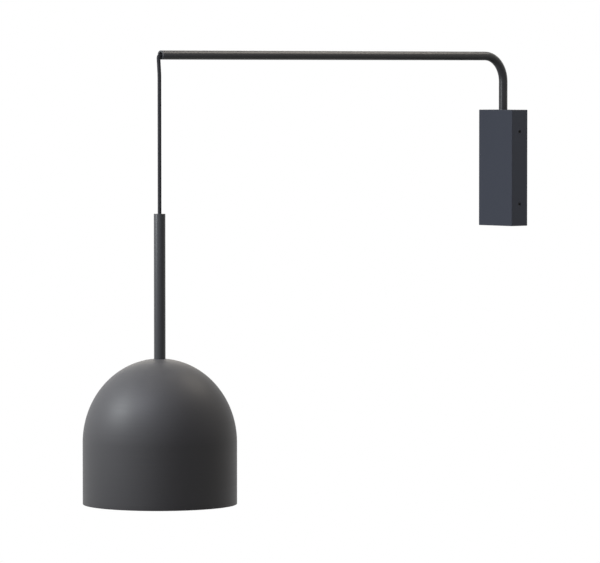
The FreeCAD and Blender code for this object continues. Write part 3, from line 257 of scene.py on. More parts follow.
def build_settled_dust() -> None:
    """A mask of the faint dust that lies on what faces up."""
    sharpness = 3.0
    cloud_scale = 55.0
    group = GroupBuilder(Effect.SETTLED, {"Amount": 0.3}, ("Mask",))
    shape = group.node("ShaderNodeNewGeometry")
    parts = group.node("ShaderNodeSeparateXYZ")
    group.link(shape.outputs["Normal"], parts.inputs[0])
    facing = group.maths("POWER", group.maths("MAXIMUM", parts.outputs["Z"], 0.0), sharpness)
    clouds = group.noise(group.position(), cloud_scale, detail=5.0)
    patchy = group.maths("MULTIPLY", facing, clouds)
    masked = group.maths("MULTIPLY", patchy, group.entry.outputs["Amount"])
    group.link(masked, group.exit.inputs["Mask"])


# Finishes


@dataclass
class Surface:
    """A material under construction, with its Principled shader."""

    name: str
    material: bpy.types.Material = field(init=False)
    tree: bpy.types.NodeTree = field(init=False)
    shader: bpy.types.Node = field(init=False)

    def __post_init__(self) -> None:
        """Makes the material and finds its shader."""
        self.material = bpy.data.materials.new(self.name)
        self.material.use_nodes = True
        self.tree = self.material.node_tree
        self.shader = self.tree.nodes["Principled BSDF"]

    def effect(self, which: Effect, **inputs: float) -> bpy.types.Node:
        """Places a shared effect with its own values.

        Args:
            which: the effect.
            inputs: values of the group's inputs, by name.

        Returns:
            The group's node.
        """
        placed = self.tree.nodes.new("ShaderNodeGroup")
        placed.node_tree = bpy.data.node_groups[which.value]
        for name, value in inputs.items():
            placed.inputs[name].default_value = value
        return placed

    def blend_colours(self, mask: bpy.types.NodeSocket, low: object, high: object) -> bpy.types.NodeSocket:
        """Mixes two colours by a mask.

        Args:
            mask: 0 for the low colour, 1 for the high one.
            low: a colour or a socket.
            high: a colour or a socket.

        Returns:
            The mixed colour.
        """
        mix = self.tree.nodes.new("ShaderNodeMix")
        mix.data_type = "RGBA"
        mix.clamp_factor = True
        self.tree.links.new(mask, mix.inputs["Factor"])
        for socket, value in ((mix.inputs[6], low), (mix.inputs[7], high)):
            if isinstance(value, bpy.types.NodeSocket):
                self.tree.links.new(value, socket)
            else:
                socket.default_value = (*value, 1.0)
        return mix.outputs[2]

    def toned(
        self, tone: bpy.types.NodeSocket, colour: Colour, dark: float, light: float
    ) -> bpy.types.NodeSocket:
        """Varies a colour from a darker to a lighter one.

        Args:
            tone: 0 for the darker colour, 1 for the lighter one.
            colour: the colour between them.
            dark: the darker one's share of it.
            light: the lighter one's share of it.

        Returns:
            The varied colour.
        """
        return self.blend_colours(tone, shaded(colour, dark), shaded(colour, light))

    def roughen(self, tone: bpy.types.NodeSocket, low: float, high: float) -> None:
        """Varies the shader's roughness.

        Args:
            tone: 0 for the low roughness, 1 for the high one.
            low: the lowest roughness.
            high: the highest roughness.
        """
        spread = self.tree.nodes.new("ShaderNodeMapRange")
        spread.inputs["To Min"].default_value = low
        spread.inputs["To Max"].default_value = high
        self.tree.links.new(tone, spread.inputs["Value"])
        self.feed(spread.outputs[0], "Roughness")

    def feed(self, value: bpy.types.NodeSocket, target: str) -> None:
        """Joins a value to one of the shader's inputs."""
        self.tree.links.new(value, self.shader.inputs[target])

    def bump(self, height: bpy.types.NodeSocket, strength: float, distance: float) -> None:
        """Feeds the shader's normal from a height.

        Args:
            height: the height, from 0 to 1.
            strength: how much of the relief shows.
            distance: the relief's depth, in metres.
        """
        relief = self.tree.nodes.new("ShaderNodeBump")
        relief.inputs["Strength"].default_value = strength
        relief.inputs["Distance"].default_value = distance
        self.tree.links.new(height, relief.inputs["Height"])
        self.feed(relief.outputs["Normal"], "Normal")

    def plain(self, **values: float) -> None:
        """Sets shader inputs that are the same all over the surface."""
        for name, value in values.items():
            self.shader.inputs[name.replace("_", " ")].default_value = value


def shaded(colour: Colour, factor: float) -> Colour:
    """A colour made lighter or darker."""
    return tuple(min(1.0, part * factor) for part in colour)


@dataclass(frozen=True)
class Paint:
    """Baked paint over metal: fine grain, lighter edges that are partly wear and partly a painted
    highlight, and a little dust.
    """

    slot: Slot
    colour: Colour
    roughness: float
    specular: float = 0.25
    grain: float = 1700.0
    relief: float = 0.00004
    variation: float = 0.10
    dust: float = 0.25
    # How much lighter the edges are: partly worn paint, partly a painted edge highlight.
    rubbed_and_highlit: float = 1.8
    spread: float = 0.04

    def build(self) -> bpy.types.Material:
        """Makes the material.

        Returns:
            The material.
        """
        surface = Surface(self.slot.value)
        grain = surface.effect(Effect.GRAIN, Scale=self.grain)
        tone = grain.outputs["Tone"]
        body = surface.toned(tone, self.colour, 1 - self.variation, 1 + self.variation)
        # Painted edge highlight, partly also worn paint: a lighter colour along every sharp edge.
        wear_and_highlight = surface.effect(Effect.WEAR_AND_HIGHLIGHT)
        worn_and_highlit = surface.blend_colours(wear_and_highlight.outputs["Mask"], body, shaded(self.colour, self.rubbed_and_highlit))
        dust = surface.effect(Effect.SETTLED, Amount=self.dust)
        surface.feed(surface.blend_colours(dust.outputs["Mask"], worn_and_highlit, DUST), "Base Color")
        surface.roughen(tone, self.roughness - self.spread, self.roughness + self.spread)
        surface.bump(grain.outputs["Height"], strength=0.5, distance=self.relief)
        surface.plain(Specular_IOR_Level=self.specular)
        return surface.material


@dataclass(frozen=True)
class SpunLacquer:
    """Lacquer over spun sheet, through which the spinning's fine rings show."""

    slot: Slot
    colour: Colour
    roughness: float
    specular: float = 0.3
    lines: float = 1000.0
    relief: float = 0.00003
    variation: float = 0.16
    side: str = ""
    dust: float = 0.12
    spread: float = 0.06

    def build(self) -> bpy.types.Material:
        """Makes the material.

        Returns:
            The material.
        """
        surface = Surface(self.slot.value + self.side)
        rings = surface.effect(Effect.TURNED, Lines=self.lines)
        tone = rings.outputs["Tone"]
        body = surface.toned(tone, self.colour, 1 - self.variation, 1 + self.variation)
        dust = surface.effect(Effect.SETTLED, Amount=self.dust)
        surface.feed(surface.blend_colours(dust.outputs["Mask"], body, DUST), "Base Color")
        surface.roughen(tone, self.roughness - self.spread, self.roughness + self.spread)
        surface.bump(rings.outputs["Height"], strength=0.35, distance=self.relief)
        surface.plain(Specular_IOR_Level=self.specular)
        return surface.material


@dataclass(frozen=True)
class Textile:
    """Braided yarn."""

    slot: Slot
    colour: Colour

    def build(self) -> bpy.types.Material:
        """Makes the material.

        Returns:
            The material.
        """
        surface = Surface(self.slot.value)
        weave = surface.effect(Effect.WEAVE)
        tone = weave.outputs["Tone"]
        surface.feed(surface.toned(tone, self.colour, dark=0.5, light=1.7), "Base Color")
        surface.roughen(tone, low=0.78, high=0.95)
        surface.bump(weave.outputs["Height"], strength=0.6, distance=0.00008)
        surface.plain(Specular_IOR_Level=0.15, Sheen_Weight=0.12, Sheen_Roughness=0.5)
        return surface.material


@dataclass(frozen=True)
class BareMetal:
    """Turned or plated metal."""

    slot: Slot
    colour: Colour
    roughness: float
    lines: float = 1500.0

    def build(self) -> bpy.types.Material:
        """Makes the material.

        Returns:
            The material.
        """
        surface = Surface(self.slot.value)
        rings = surface.effect(Effect.TURNED, Lines=self.lines, Around=40.0)
        grain = surface.effect(Effect.GRAIN, Scale=900.0, Drift=60.0)
        tone = surface.toned(grain.outputs["Tone"], self.colour, dark=0.82, light=1.1)
        surface.feed(tone, "Base Color")
        surface.roughen(rings.outputs["Tone"], self.roughness - 0.08, self.roughness + 0.1)
        surface.bump(rings.outputs["Height"], strength=0.25, distance=0.00002)
        surface.plain(Metallic=1.0)
        return surface.material


@dataclass(frozen=True)
class Moulded:
    """Moulded plastic, rubber or glazed ceramic."""

    slot: Slot
    colour: Colour
    roughness: float
    coat: float = 0.0

    def build(self) -> bpy.types.Material:
        """Makes the material.

        Returns:
            The material.
        """
        surface = Surface(self.slot.value)
        grain = surface.effect(Effect.GRAIN, Scale=1300.0, Drift=35.0)
        tone = grain.outputs["Tone"]
        surface.feed(surface.toned(tone, self.colour, dark=0.88, light=1.1), "Base Color")
        surface.roughen(tone, self.roughness - 0.05, self.roughness + 0.06)
        surface.bump(grain.outputs["Height"], strength=0.3, distance=0.00003)
        surface.plain(Specular_IOR_Level=0.4, Coat_Weight=self.coat, Coat_Roughness=0.12)
        return surface.material


@dataclass(frozen=True)
class StripedSheath:
    """A two-coloured conductor sheath, striped along its length."""

    slot: Slot
    colour: Colour
    stripe: Colour
    stripes: float = 260.0

    def build(self) -> bpy.types.Material:
        """Makes the material.

        Returns:
            The material.
        """
        surface = Surface(self.slot.value)
        wave = surface.tree.nodes.new("ShaderNodeTexWave")
        wave.inputs["Scale"].default_value = self.stripes
        place = surface.tree.nodes.new("ShaderNodeTexCoord")
        surface.tree.links.new(place.outputs["Object"], wave.inputs["Vector"])
        surface.feed(surface.blend_colours(wave.outputs["Fac"], self.colour, self.stripe), "Base Color")
        grain = surface.effect(Effect.GRAIN)
        surface.roughen(grain.outputs["Tone"], low=0.4, high=0.5)
        surface.bump(grain.outputs["Height"], strength=0.2, distance=0.00002)
        return surface.material


@dataclass(frozen=True)
class OpalGlass:
    """White glass, satin outside."""

    slot: Slot
    colour: Colour

    def build(self) -> bpy.types.Material:
        """Makes the material.

        Returns:
            The material.
        """
        surface = Surface(self.slot.value)
        grain = surface.effect(Effect.GRAIN, Scale=700.0, Drift=30.0)
        tone = grain.outputs["Tone"]
        surface.feed(surface.toned(tone, self.colour, dark=0.97, light=1.03), "Base Color")
        surface.roughen(tone, low=0.22, high=0.3)
        surface.plain(Coat_Weight=0.3, Coat_Roughness=0.1, Subsurface_Weight=0.15)
        return surface.material


FINISHES = (
    Paint(
        Slot.BOX, (0.054, 0.061, 0.083), 0.5, specular=0.22, relief=0.00002, variation=0.03, dust=0.05
    ),
    Paint(
        Slot.TUBE,
        (0.038, 0.0385, 0.0415),
        0.36,
        specular=0.25,
        grain=2200.0,
        relief=0.00001,
        variation=0.03,
        dust=0.05,
    ),
    SpunLacquer(
        Slot.SHADE, (0.060, 0.0585, 0.061), 0.52, specular=0.25, relief=0.00001, variation=0.06
    ),
    Textile(Slot.CORD, (0.022, 0.022, 0.024)),
    BareMetal(Slot.ZINC, (0.55, 0.56, 0.57), 0.35),
    Paint(Slot.BLACK_STEEL, (0.012, 0.012, 0.013), 0.5, dust=0.05),
    Moulded(Slot.RUBBER, (0.018, 0.018, 0.018), 0.7),
    Moulded(Slot.BLACK_PLASTIC, (0.014, 0.014, 0.015), 0.45),
    Moulded(Slot.WHITE_PLASTIC, (0.72, 0.72, 0.7), 0.4),
    Moulded(Slot.NYLON, (0.66, 0.62, 0.52), 0.5),
    Moulded(Slot.CERAMIC, (0.78, 0.77, 0.73), 0.3, coat=0.5),
    BareMetal(Slot.BRASS, (0.72, 0.5, 0.2), 0.3),
    BareMetal(Slot.NICKEL, (0.66, 0.63, 0.58), 0.25, lines=2600.0),
    BareMetal(Slot.TINNED, (0.68, 0.67, 0.65), 0.3),
    Moulded(Slot.BROWN_WIRE, (0.13, 0.05, 0.02), 0.42),
    Moulded(Slot.BLUE_WIRE, (0.02, 0.08, 0.4), 0.42),
    StripedSheath(Slot.EARTH_WIRE, (0.6, 0.55, 0.03), (0.04, 0.3, 0.05)),
    OpalGlass(Slot.OPAL, (0.86, 0.85, 0.82)),
)

SHADE_INSIDE = SpunLacquer(Slot.SHADE, (0.66, 0.65, 0.62), 0.5, variation=0.03, side="_inside")


@dataclass
class Wardrobe:
    """All the finishes, built once, and how they go onto nodes and pieces."""

    materials: dict[Slot, bpy.types.Material] = field(default_factory=dict)
    inside: bpy.types.Material | None = None

    def build(self) -> None:
        """Builds the effects and every finish."""
        build_fine_grain()
        build_turned_lines()
        build_edge_wear_and_highlight()
        build_braided_weave()
        build_settled_dust()
        for finish in FINISHES:
            self.materials[finish.slot] = finish.build()
        self.inside = SHADE_INSIDE.build()

    def dress(self, thing: bpy.types.Object, *slots: Slot) -> None:
        """Puts finishes in an object's material slots.

        Args:
            thing: a node or a piece.
            slots: one finish for each of the object's own slots.
        """
        if len(thing.data.materials) != len(slots):
            thing.data.materials.clear()
            for slot in slots:
                thing.data.materials.append(self.materials[slot])
        for place, slot in enumerate(slots):
            thing.material_slots[place].material = self.materials[slot]


# Meshes


def mesh_object(name: str, points: list[Vector], faces: list[tuple[int, ...]]) -> bpy.types.Object:
    """Makes a smooth mesh object and puts it in the scene.

    Args:
        name: the piece's name.
        points: its vertices.
        faces: its faces, as places in the points.

    Returns:
        The object.
    """
    mesh = bpy.data.meshes.new(name)
    mesh.from_pydata(points, [], faces)
    mesh.polygons.foreach_set("use_smooth", [True] * len(mesh.polygons))
    mesh.update()
    thing = bpy.data.objects.new(name, mesh)
    bpy.context.collection.objects.link(thing)
    return thing


def spline_points(control: Iterable[Point]) -> list[Vector]:
    """The points of the smooth line that a row of control points gives.

    Args:
        control: the control points.

    Returns:
        Points along the line, close together.
    """
    curve = bpy.data.curves.new("route", "CURVE")
    curve.dimensions = "3D"
    spline = curve.splines.new("NURBS")
    places = list(control)
    spline.points.add(len(places) - 1)
    for point, place in zip(spline.points, places):
        point.co = (*place, 1.0)
    spline.order_u = 3
    spline.use_endpoint_u = True
    spline.resolution_u = 24
    holder = bpy.data.objects.new("route", curve)
    bpy.context.collection.objects.link(holder)
    bpy.context.view_layer.update()
    mesh = bpy.data.meshes.new_from_object(holder.evaluated_get(bpy.context.evaluated_depsgraph_get()))
    points = [vertex.co.copy() for vertex in mesh.vertices]
    bpy.data.objects.remove(holder)
    bpy.data.meshes.remove(mesh)
    bpy.data.curves.remove(curve)
    return points


def route_length(points: list[Vector]) -> float:
    """The length of a line through points."""
    return sum((b - a).length for a, b in zip(points, points[1:]))


def evenly(points: list[Vector], step: float) -> list[Vector]:
    """The same line with its points evenly spaced.

    Args:
        points: points along the line.
        step: the spacing asked for, in metres.

    Returns:
        The points, with both ends kept.
    """
    total = route_length(points)
    count = max(2, round(total / step))
    spaced = [points[0].copy()]
    walked = 0.0
    index = 0
    for number in range(1, count):
        target = total * number / count
        while walked + (points[index + 1] - points[index]).length < target:
            walked += (points[index + 1] - points[index]).length
            index += 1
        run = points[index + 1] - points[index]
        spaced.append(points[index] + run * ((target - walked) / run.length))
    spaced.append(points[-1].copy())
    return spaced


@dataclass
class Braid:
    """A braided cord as a mesh, whose surface carries the braid's own bumps."""

    diameter: float = 0.005
    carriers: int = 8
    pitch: float = 0.0036
    depth: float = 0.00018
    sides: int = 64
    step: float = 0.0004

    def radius_at(self, angle: float, along: float) -> float:
        """The braid's radius at a place on its surface.

        Args:
            angle: the angle round the cord, in radians.
            along: the distance along the cord, in metres.

        Returns:
            The radius, in metres.
        """
        turn = self.carriers * angle
        lay = math.tau * along / self.pitch
        crossing = math.sin(turn + lay) * math.sin(turn - lay)
        return self.diameter / 2 - self.depth * (0.5 - 0.5 * crossing)

    def build(self, name: str, points: list[Vector], start: float = 0.0) -> bpy.types.Object:
        """Makes the braided tube along a line.

        Args:
            name: the piece's name.
            points: the line, evenly spaced.
            start: how far along the whole cord the line begins, so that the braid runs on.

        Returns:
            The object.
        """
        vertices: list[Vector] = []
        across = Vector((1, 0, 0))
        along = start
        last = len(points) - 1
        for place, point in enumerate(points):
            ahead = points[min(place + 1, last)] - points[max(place - 1, 0)]
            heading = ahead.normalized()
            across = (across - heading * across.dot(heading)).normalized()
            third = heading.cross(across)
            for side in range(self.sides):
                angle = math.tau * side / self.sides
                radius = self.radius_at(angle, along)
                vertices.append(point + (across * math.cos(angle) + third * math.sin(angle)) * radius)
            if place < last:
                along += (points[place + 1] - point).length
        faces = self.skin(len(points))
        self.cap(vertices, faces, points[0], 0, False)
        self.cap(vertices, faces, points[-1], last * self.sides, True)
        return mesh_object(name, vertices, faces)

    def skin(self, rings: int) -> list[tuple[int, ...]]:
        """The faces between rings of vertices.

        Args:
            rings: how many rings there are.

        Returns:
            The faces, as places in the vertices.
        """
        faces: list[tuple[int, ...]] = []
        for ring in range(rings - 1):
            low = ring * self.sides
            for side in range(self.sides):
                after = (side + 1) % self.sides
                faces.append((low + side, low + after, low + self.sides + after, low + self.sides + side))
        return faces

    def cap(
        self,
        vertices: list[Vector],
        faces: list[tuple[int, ...]],
        middle: Vector,
        ring: int,
        far: bool,
    ) -> None:
        """Closes one end with vertices of its own, so that the skin's shading runs straight out.

        Args:
            vertices: the mesh's vertices, added to.
            faces: its faces, added to.
            middle: the end's middle.
            ring: the place of the end ring's first vertex.
            far: whether this is the line's far end.
        """
        first = len(vertices)
        vertices.extend(vertices[ring + side].copy() for side in range(self.sides))
        vertices.append(middle.copy())
        hub = first + self.sides
        for side in range(self.sides):
            after = (side + 1) % self.sides
            rim = (first + side, first + after) if far else (first + after, first + side)
            faces.append((hub, *rim))


# The light


@dataclass
class SubAssembly:
    """A part of the light that rides on one body, and the finishes of its nodes."""

    body: str

    def dress_nodes(self, wardrobe: Wardrobe) -> None:
        """Gives every node of this body the finish of its slot in the record.

        Args:
            wardrobe: the finishes.
        """
        slots = {entry["node"]: Slot(entry["material_slot"]) for entry in frame["record"]["subparts"]}
        for name in frame["record"]["behaviour"]["bodies"][self.body]:
            wardrobe.dress(frame["nodes"][name], slots[name])
            log.info("%s: node %s has finish %s", self.body, name, slots[name].value)


@dataclass
class WallUnit(SubAssembly):
    """The cover box on its bracket, with the swivel's housing and the connections in it."""

    body: str = "wall_unit"

    def build(self, wardrobe: Wardrobe) -> None:
        """Dresses the box and all that it holds."""
        self.dress_nodes(wardrobe)


@dataclass
class Arm(SubAssembly):
    """The bent tube, and the cord that it holds as far as its lip."""

    body: str = "arm"
    swivel_y: float = -0.015
    spindle_end: float = 0.026
    soft_bend_low: float = 0.064
    soft_bend_high: float = 0.094
    leg_y: float = -0.01595
    leg_top: float = 0.1331
    bend_side: float = 0.01
    cord_height: float = 0.15305
    mouth_y: float = -0.6341
    lip: Point = (0.0, -0.6389, 0.15305)
    end: Point = (0.0, -0.638574, 0.148245)
    seen_from_y: float = -0.615
    leg_middle: float = 0.112
    arm_middle_y: float = -0.3
    before_mouth_y: float = -0.62
    hidden_step: float = 0.004

    def route(self) -> tuple[Point, ...]:
        """The cord's way from the spindle up through the tube and over its lip.

        Returns:
            The route's control points.
        """
        turn_y = self.leg_y - self.bend_side
        return (
            (0.0, self.swivel_y, self.spindle_end),
            (0.0, self.swivel_y, self.soft_bend_low),
            (0.0, self.leg_y, self.soft_bend_high),
            (0.0, self.leg_y, self.leg_middle),
            (0.0, self.leg_y, self.leg_top),
            (0.0, turn_y, self.leg_top + self.bend_side),
            (0.0, turn_y - self.bend_side, self.cord_height),
            (0.0, self.arm_middle_y, self.cord_height),
            (0.0, self.before_mouth_y, self.cord_height),
            (0.0, self.mouth_y, self.cord_height),
            self.lip,
            self.end,
        )

    def build(self, wardrobe: Wardrobe) -> None:
        """Dresses the tube and its fittings, and braids the cord in it.

        Args:
            wardrobe: the finishes.
        """
        self.dress_nodes(wardrobe)
        points = spline_points(self.route())
        near = [point for point in points if point.y < self.seen_from_y]
        far = [point for point in points if point.y >= self.seen_from_y]
        line = evenly(far + near[:1], self.hidden_step)[:-1] + evenly(near, Braid.step)
        cord = Braid().build("arm_cord_braid", line, -route_length(line))
        wardrobe.dress(cord, Slot.CORD)
        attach(cord, self.body)
        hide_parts("arm_cord")
        log.info("%s: arm_cord_braid is %.3f m long", self.body, route_length(line))


@dataclass(frozen=True)
class Stretch:
    """One stretch of the free cord: its node and its line, with the bodies and bend heights of a joint
    that nothing here reads.
    """

    node: str
    upper_body: str
    lower_body: str
    bend_from: float
    bend_to: float
    control: tuple[Point, ...]


@dataclass
class HangingCord:
    """The free cord, from the arm's lip to the stem's top, in its three stretches."""

    diameter: float = 0.005
    plumb_y: float = -0.6372
    exit: Point = (0.0, -0.638574, 0.148245)
    upper_end: float = 0.112
    middle_end: float = 0.030
    stem_top: float = -0.051

    def stretches(self) -> tuple[Stretch, ...]:
        """The stretches, each with its bend and its line.

        Returns:
            The stretches, from the top down.
        """
        y = self.plumb_y
        return (
            Stretch(
                "cord_upper",
                "arm",
                "cord_top",
                self.exit[2],
                0.125,
                (
                    self.exit,
                    (0.0, -0.637688, 0.1352),
                    (0.0, y, 0.1280),
                    (0.0, y, 0.1208),
                    (0.0, y, self.upper_end),
                ),
            ),
            Stretch(
                "cord_middle",
                "cord_top",
                "cord_mid",
                self.upper_end,
                0.088,
                ((0.0, y, self.upper_end), (0.0, y, 0.082), (0.0, y, self.middle_end)),
            ),
            Stretch(
                "cord_lower",
                "cord_low",
                "pendant",
                -0.027,
                self.stem_top,
                ((0.0, y, self.middle_end), (0.0, y, -0.021), (0.0, y, self.stem_top)),
            ),
        )

    def build(self, wardrobe: Wardrobe) -> None:
        """Args:
            wardrobe: the finishes.
        """
        so_far = 0.0
        for stretch in self.stretches():
            points = evenly(spline_points(stretch.control), Braid.step)
            cord = Braid(self.diameter).build(f"{stretch.node}_braid", points, so_far)
            wardrobe.dress(cord, Slot.CORD)
            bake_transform(cord)
            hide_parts(stretch.node)
            length = route_length(points)
            so_far += length
            log.info("hanging cord: %s_braid is %.4f m long", stretch.node, length)


@dataclass
class DomeShade:
    """The spun shade: a flat seat, an elliptical dome and a straight skirt."""

    radius: float = 0.1
    wall: float = 0.0012
    seat: float = 0.01
    hole: float = 0.0052
    dome: float = 0.108
    height: float = 0.188
    rim: float = 0.0005
    axis_y: float = -0.6372
    top: float = -0.239
    segments: int = 256
    dome_steps: int = 72
    skirt_steps: int = 12
    rim_steps: int = 5
    seat_ring: float = 0.8

    def outer_rise(self) -> float:
        """The half height of the ellipse that the dome's outside follows."""
        return self.dome / math.sqrt(1 - (self.seat / self.radius) ** 2)

    def dome_line(self, radius: float, rise: float, inner: float) -> list[tuple[float, float]]:
        """The quarter ellipse from its seat's edge down to the equator.

        Args:
            radius: the ellipse's half width.
            rise: its half height.
            inner: the radius at which it starts.

        Returns:
            Points as radius and height, measured from the shade's top.
        """
        first = math.asin(inner / radius)
        line = []
        for step in range(self.dome_steps + 1):
            angle = first + (math.pi / 2 - first) * step / self.dome_steps
            line.append((radius * math.sin(angle), -self.dome + rise * math.cos(angle)))
        return line

    def outer_line(self) -> list[tuple[float, float]]:
        """The outside, from the hole to the rim's lowest edge.

        Returns:
            Points as radius and height, measured from the shade's top.
        """
        line = [(self.hole, 0.0), (self.seat * self.seat_ring, 0.0)]
        line += self.dome_line(self.radius, self.outer_rise(), self.seat)
        skirt = self.height - self.dome - self.rim
        for part in range(1, self.skirt_steps + 1):
            line.append((self.radius, -self.dome - skirt * part / self.skirt_steps))
        for step in range(1, self.rim_steps + 1):
            angle = math.pi / 2 * step / self.rim_steps
            across = self.radius - self.rim + self.rim * math.cos(angle)
            line.append((across, -self.height + self.rim - self.rim * math.sin(angle)))
        return line

    def inner_line(self) -> list[tuple[float, float]]:
        """The inside, from the rim's lowest edge to the hole.

        Returns:
            Points as radius and height, measured from the shade's top.
        """
        rise = self.outer_rise() - self.wall
        inside = self.radius - self.wall
        seat = inside * math.sqrt(1 - ((self.dome - self.wall) / rise) ** 2)
        line = []
        for step in range(self.rim_steps + 1):
            angle = math.pi / 2 * (1 - step / self.rim_steps)
            across = inside + self.rim - self.rim * math.cos(angle)
            line.append((across, -self.height + self.rim - self.rim * math.sin(angle)))
        skirt = self.height - self.dome - self.rim
        for part in range(1, self.skirt_steps):
            line.append((inside, -self.dome - skirt * (1 - part / self.skirt_steps)))
        line += self.dome_line(inside, rise, seat)[::-1]
        line.append((self.hole, -self.wall))
        return line

    def build(self, wardrobe: Wardrobe) -> bpy.types.Object:
        """Turns the shade and dresses its outside and its inside.

        Args:
            wardrobe: the finishes.

        Returns:
            The piece.
        """
        outer, inner = self.outer_line(), self.inner_line()
        profile = outer + inner
        count = len(profile)
        vertices = [
            Vector((r * math.cos(a), self.axis_y + r * math.sin(a), self.top + z))
            for a in (math.tau * s / self.segments for s in range(self.segments))
            for r, z in profile
        ]
        faces = []
        for segment in range(self.segments):
            here, there = segment * count, ((segment + 1) % self.segments) * count
            for place in range(count):
                after = (place + 1) % count
                faces.append((here + place, here + after, there + after, there + place))
        shade = mesh_object("dome_shade", vertices, faces)
        shade.data.materials.append(wardrobe.materials[Slot.SHADE])
        shade.data.materials.append(wardrobe.inside)
        inside_from = len(outer) + self.rim_steps
        inside_to = count - 2
        for number, polygon in enumerate(shade.data.polygons):
            if inside_from <= number % count < inside_to:
                polygon.material_index = 1
        return shade


@dataclass
class Pendant(SubAssembly):
    """All that hangs from the cord: the stem, the shade, the holder and the bulb."""

    body: str = "pendant"
    shade: DomeShade = field(default_factory=DomeShade)

    def build(self, wardrobe: Wardrobe) -> None:
        """Dresses the stem, holder and bulb, and turns the shade.

        Args:
            wardrobe: the finishes.
        """
        self.dress_nodes(wardrobe)
        shade = self.shade.build(wardrobe)
        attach(shade, self.body)
        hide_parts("shade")
        log.info("%s: dome_shade has %d faces", self.body, len(shade.data.polygons))


# Camera, lights and floor


@dataclass
class PhotographView:
    """The camera where the photograph's stood, found by fitting the light's own edges."""

    focal_pixels: float = 4577.28
    width_pixels: float = 600.0
    sensor: float = 36.0
    heading: float = 0.73358
    tilt: float = 0.04591
    box_right: float = 0.28069
    box_ahead: float = 6.32976
    box_up: float = -0.05306
    box_top: Point = (0.0, -0.015, 0.080)
    sees_to: float = 100.0

    def axes(self) -> tuple[Vector, Vector]:
        """The camera's level directions.

        Returns:
            The directions to its right and ahead of it.
        """
        right = Vector((math.sin(self.heading), math.cos(self.heading), 0.0))
        ahead = Vector((-math.cos(self.heading), math.sin(self.heading), 0.0))
        return right, ahead

    def build(self) -> None:
        """Makes the camera and sets it as the scene's."""
        right, ahead = self.axes()
        spot = Vector(self.box_top) - right * self.box_right - ahead * self.box_ahead
        spot.z -= self.box_up
        forward = ahead * math.cos(self.tilt) - Vector((0, 0, math.sin(self.tilt)))
        up = right.cross(forward)
        camera = bpy.data.cameras.new("photograph_view")
        camera.sensor_fit = "HORIZONTAL"
        camera.sensor_width = self.sensor
        camera.lens = self.sensor * self.focal_pixels / self.width_pixels
        camera.clip_end = self.sees_to
        holder = bpy.data.objects.new("photograph_view", camera)
        turn = Matrix((right, up, -forward)).transposed().to_4x4()
        holder.matrix_world = Matrix.Translation(spot) @ turn
        bpy.context.collection.objects.link(holder)
        bpy.context.scene.camera = holder


@dataclass(frozen=True)
class Softbox:
    """One soft square lamp, placed by its direction from the point that it faces.

    The direction is given as parts to the camera's right, towards the camera and up.
    """

    name: str
    direction: Point
    distance: float
    size: float
    power: float
    colour: Colour


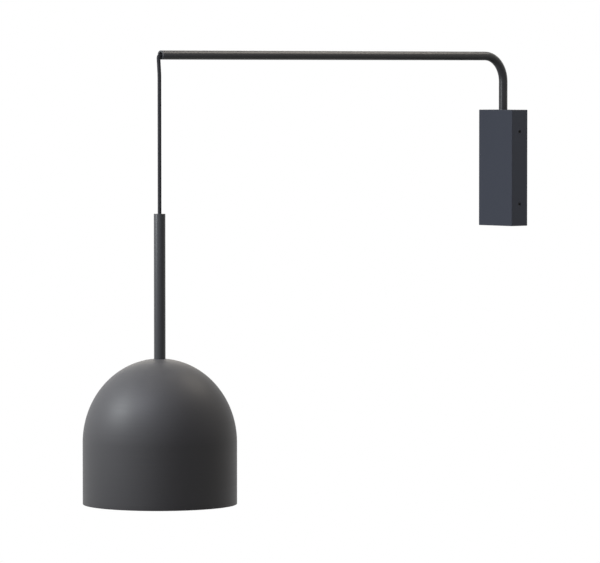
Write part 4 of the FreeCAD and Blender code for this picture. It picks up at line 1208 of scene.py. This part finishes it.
@dataclass
class Studio:
    """A pale floor, a surround that looks white, and soft lamps."""

    floor_height: float = -1.6
    floor_size: float = 7.0
    floor_colour: Colour = (0.86, 0.86, 0.85)
    floor_roughness: float = 0.9
    floor_paleness: float = 0.5
    surround: float = 0.05
    faced: Point = (0.0, -0.637, -0.25)
    lamps: tuple[Softbox, ...] = (
        Softbox("key", (-0.81, 0.32, 0.47), 0.65, 0.22, 5.6, (0.936, 0.979, 1.0)),
        Softbox("fill", (-0.38, 0.61, 0.70), 0.8, 0.25, 3.0, (0.858, 0.879, 1.0)),
        Softbox("rim", (0.56, -0.30, 0.77), 1.57, 0.61, 9.0, (1.0, 0.925, 0.816)),
        Softbox("back", (-0.04, -0.91, 0.42), 2.19, 1.03, 6.5, (1.0, 0.926, 0.806)),
    )

    def build(self, view: PhotographView) -> None:
        """Makes the floor, the world and the lamps.

        Args:
            view: the camera, whose directions the lamps use.
        """
        self.build_floor()
        self.build_world()
        right, ahead = view.axes()
        for lamp in self.lamps:
            sideways, towards, rise = lamp.direction
            aim = (right * sideways - ahead * towards + Vector((0, 0, rise))).normalized()
            light = bpy.data.lights.new(lamp.name, "AREA")
            light.shape = "SQUARE"
            light.size = lamp.size
            light.energy = lamp.power
            light.color = lamp.colour
            holder = bpy.data.objects.new(lamp.name, light)
            holder.location = Vector(self.faced) + aim * lamp.distance
            holder.rotation_euler = aim.to_track_quat("Z", "Y").to_euler()
            bpy.context.collection.objects.link(holder)

    def shown_rays(self, tree: bpy.types.NodeTree) -> bpy.types.NodeSocket:
        """Picks out the rays that show a background.

        Args:
            tree: the material's or the world's nodes.

        Returns:
            1 for what the camera sees, straight or by gloss or glass, and 0 for the light's own way.
        """
        path = tree.nodes.new("ShaderNodeLightPath")
        value = path.outputs["Is Camera Ray"]
        for kind in ("Is Glossy Ray", "Is Transmission Ray"):
            either = tree.nodes.new("ShaderNodeMath")
            either.operation = "MAXIMUM"
            tree.links.new(value, either.inputs[0])
            tree.links.new(path.outputs[kind], either.inputs[1])
            value = either.outputs[0]
        return value

    def build_floor(self) -> None:
        """Makes the floor: pale where it is seen, keeping the shadow, and clear from beneath."""
        half = self.floor_size / 2
        signs = ((-1, -1), (1, -1), (1, 1), (-1, 1))
        corners = [Vector((half * x, half * y, self.floor_height)) for x, y in signs]
        floor = mesh_object("floor", corners, [(0, 1, 2, 3)])
        material = bpy.data.materials.new("pale_floor")
        material.use_nodes = True
        tree = material.node_tree
        shader = tree.nodes["Principled BSDF"]
        shader.inputs["Base Color"].default_value = (*self.floor_colour, 1.0)
        shader.inputs["Roughness"].default_value = self.floor_roughness
        pale = tree.nodes.new("ShaderNodeEmission")
        shown = self.shown_rays(tree)
        strength = tree.nodes.new("ShaderNodeMath")
        strength.operation = "MULTIPLY"
        strength.inputs[1].default_value = self.floor_paleness
        tree.links.new(shown, strength.inputs[0])
        tree.links.new(strength.outputs[0], pale.inputs["Strength"])
        lit = tree.nodes.new("ShaderNodeAddShader")
        tree.links.new(shader.outputs[0], lit.inputs[0])
        tree.links.new(pale.outputs[0], lit.inputs[1])
        through = tree.nodes.new("ShaderNodeBsdfTransparent")
        side = tree.nodes.new("ShaderNodeNewGeometry")
        chooser = tree.nodes.new("ShaderNodeMixShader")
        tree.links.new(side.outputs["Backfacing"], chooser.inputs["Fac"])
        tree.links.new(lit.outputs[0], chooser.inputs[1])
        tree.links.new(through.outputs[0], chooser.inputs[2])
        tree.links.new(chooser.outputs[0], tree.nodes["Material Output"].inputs["Surface"])
        floor.data.materials.append(material)

    def build_world(self) -> None:
        """Makes a surround that is white to the eye and in reflections, and dim as a lamp."""
        world = bpy.data.worlds.new("surround")
        world.use_nodes = True
        tree = world.node_tree
        dim = tree.nodes["Background"]
        dim.inputs["Color"].default_value = WHITE
        dim.inputs["Strength"].default_value = self.surround
        white = tree.nodes.new("ShaderNodeBackground")
        white.inputs["Color"].default_value = WHITE
        white.inputs["Strength"].default_value = 1.0
        chooser = tree.nodes.new("ShaderNodeMixShader")
        tree.links.new(self.shown_rays(tree), chooser.inputs["Fac"])
        tree.links.new(dim.outputs[0], chooser.inputs[1])
        tree.links.new(white.outputs[0], chooser.inputs[2])
        tree.links.new(chooser.outputs[0], tree.nodes["World Output"].inputs["Surface"])
        bpy.context.scene.world = world


def main() -> None:
    """Builds the camera, the cords, the parts of the light in order, and the studio."""
    logging.basicConfig(level=logging.INFO, format="%(name)s %(message)s")
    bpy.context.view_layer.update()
    bpy.context.scene.view_settings.view_transform = "Standard"
    view = PhotographView()
    view.build()
    wardrobe = Wardrobe()
    wardrobe.build()
    HangingCord().build(wardrobe)
    Arm().build(wardrobe)
    WallUnit().build(wardrobe)
    Pendant().build(wardrobe)
    Studio().build(view)


if __name__ == "__main__":
    main()
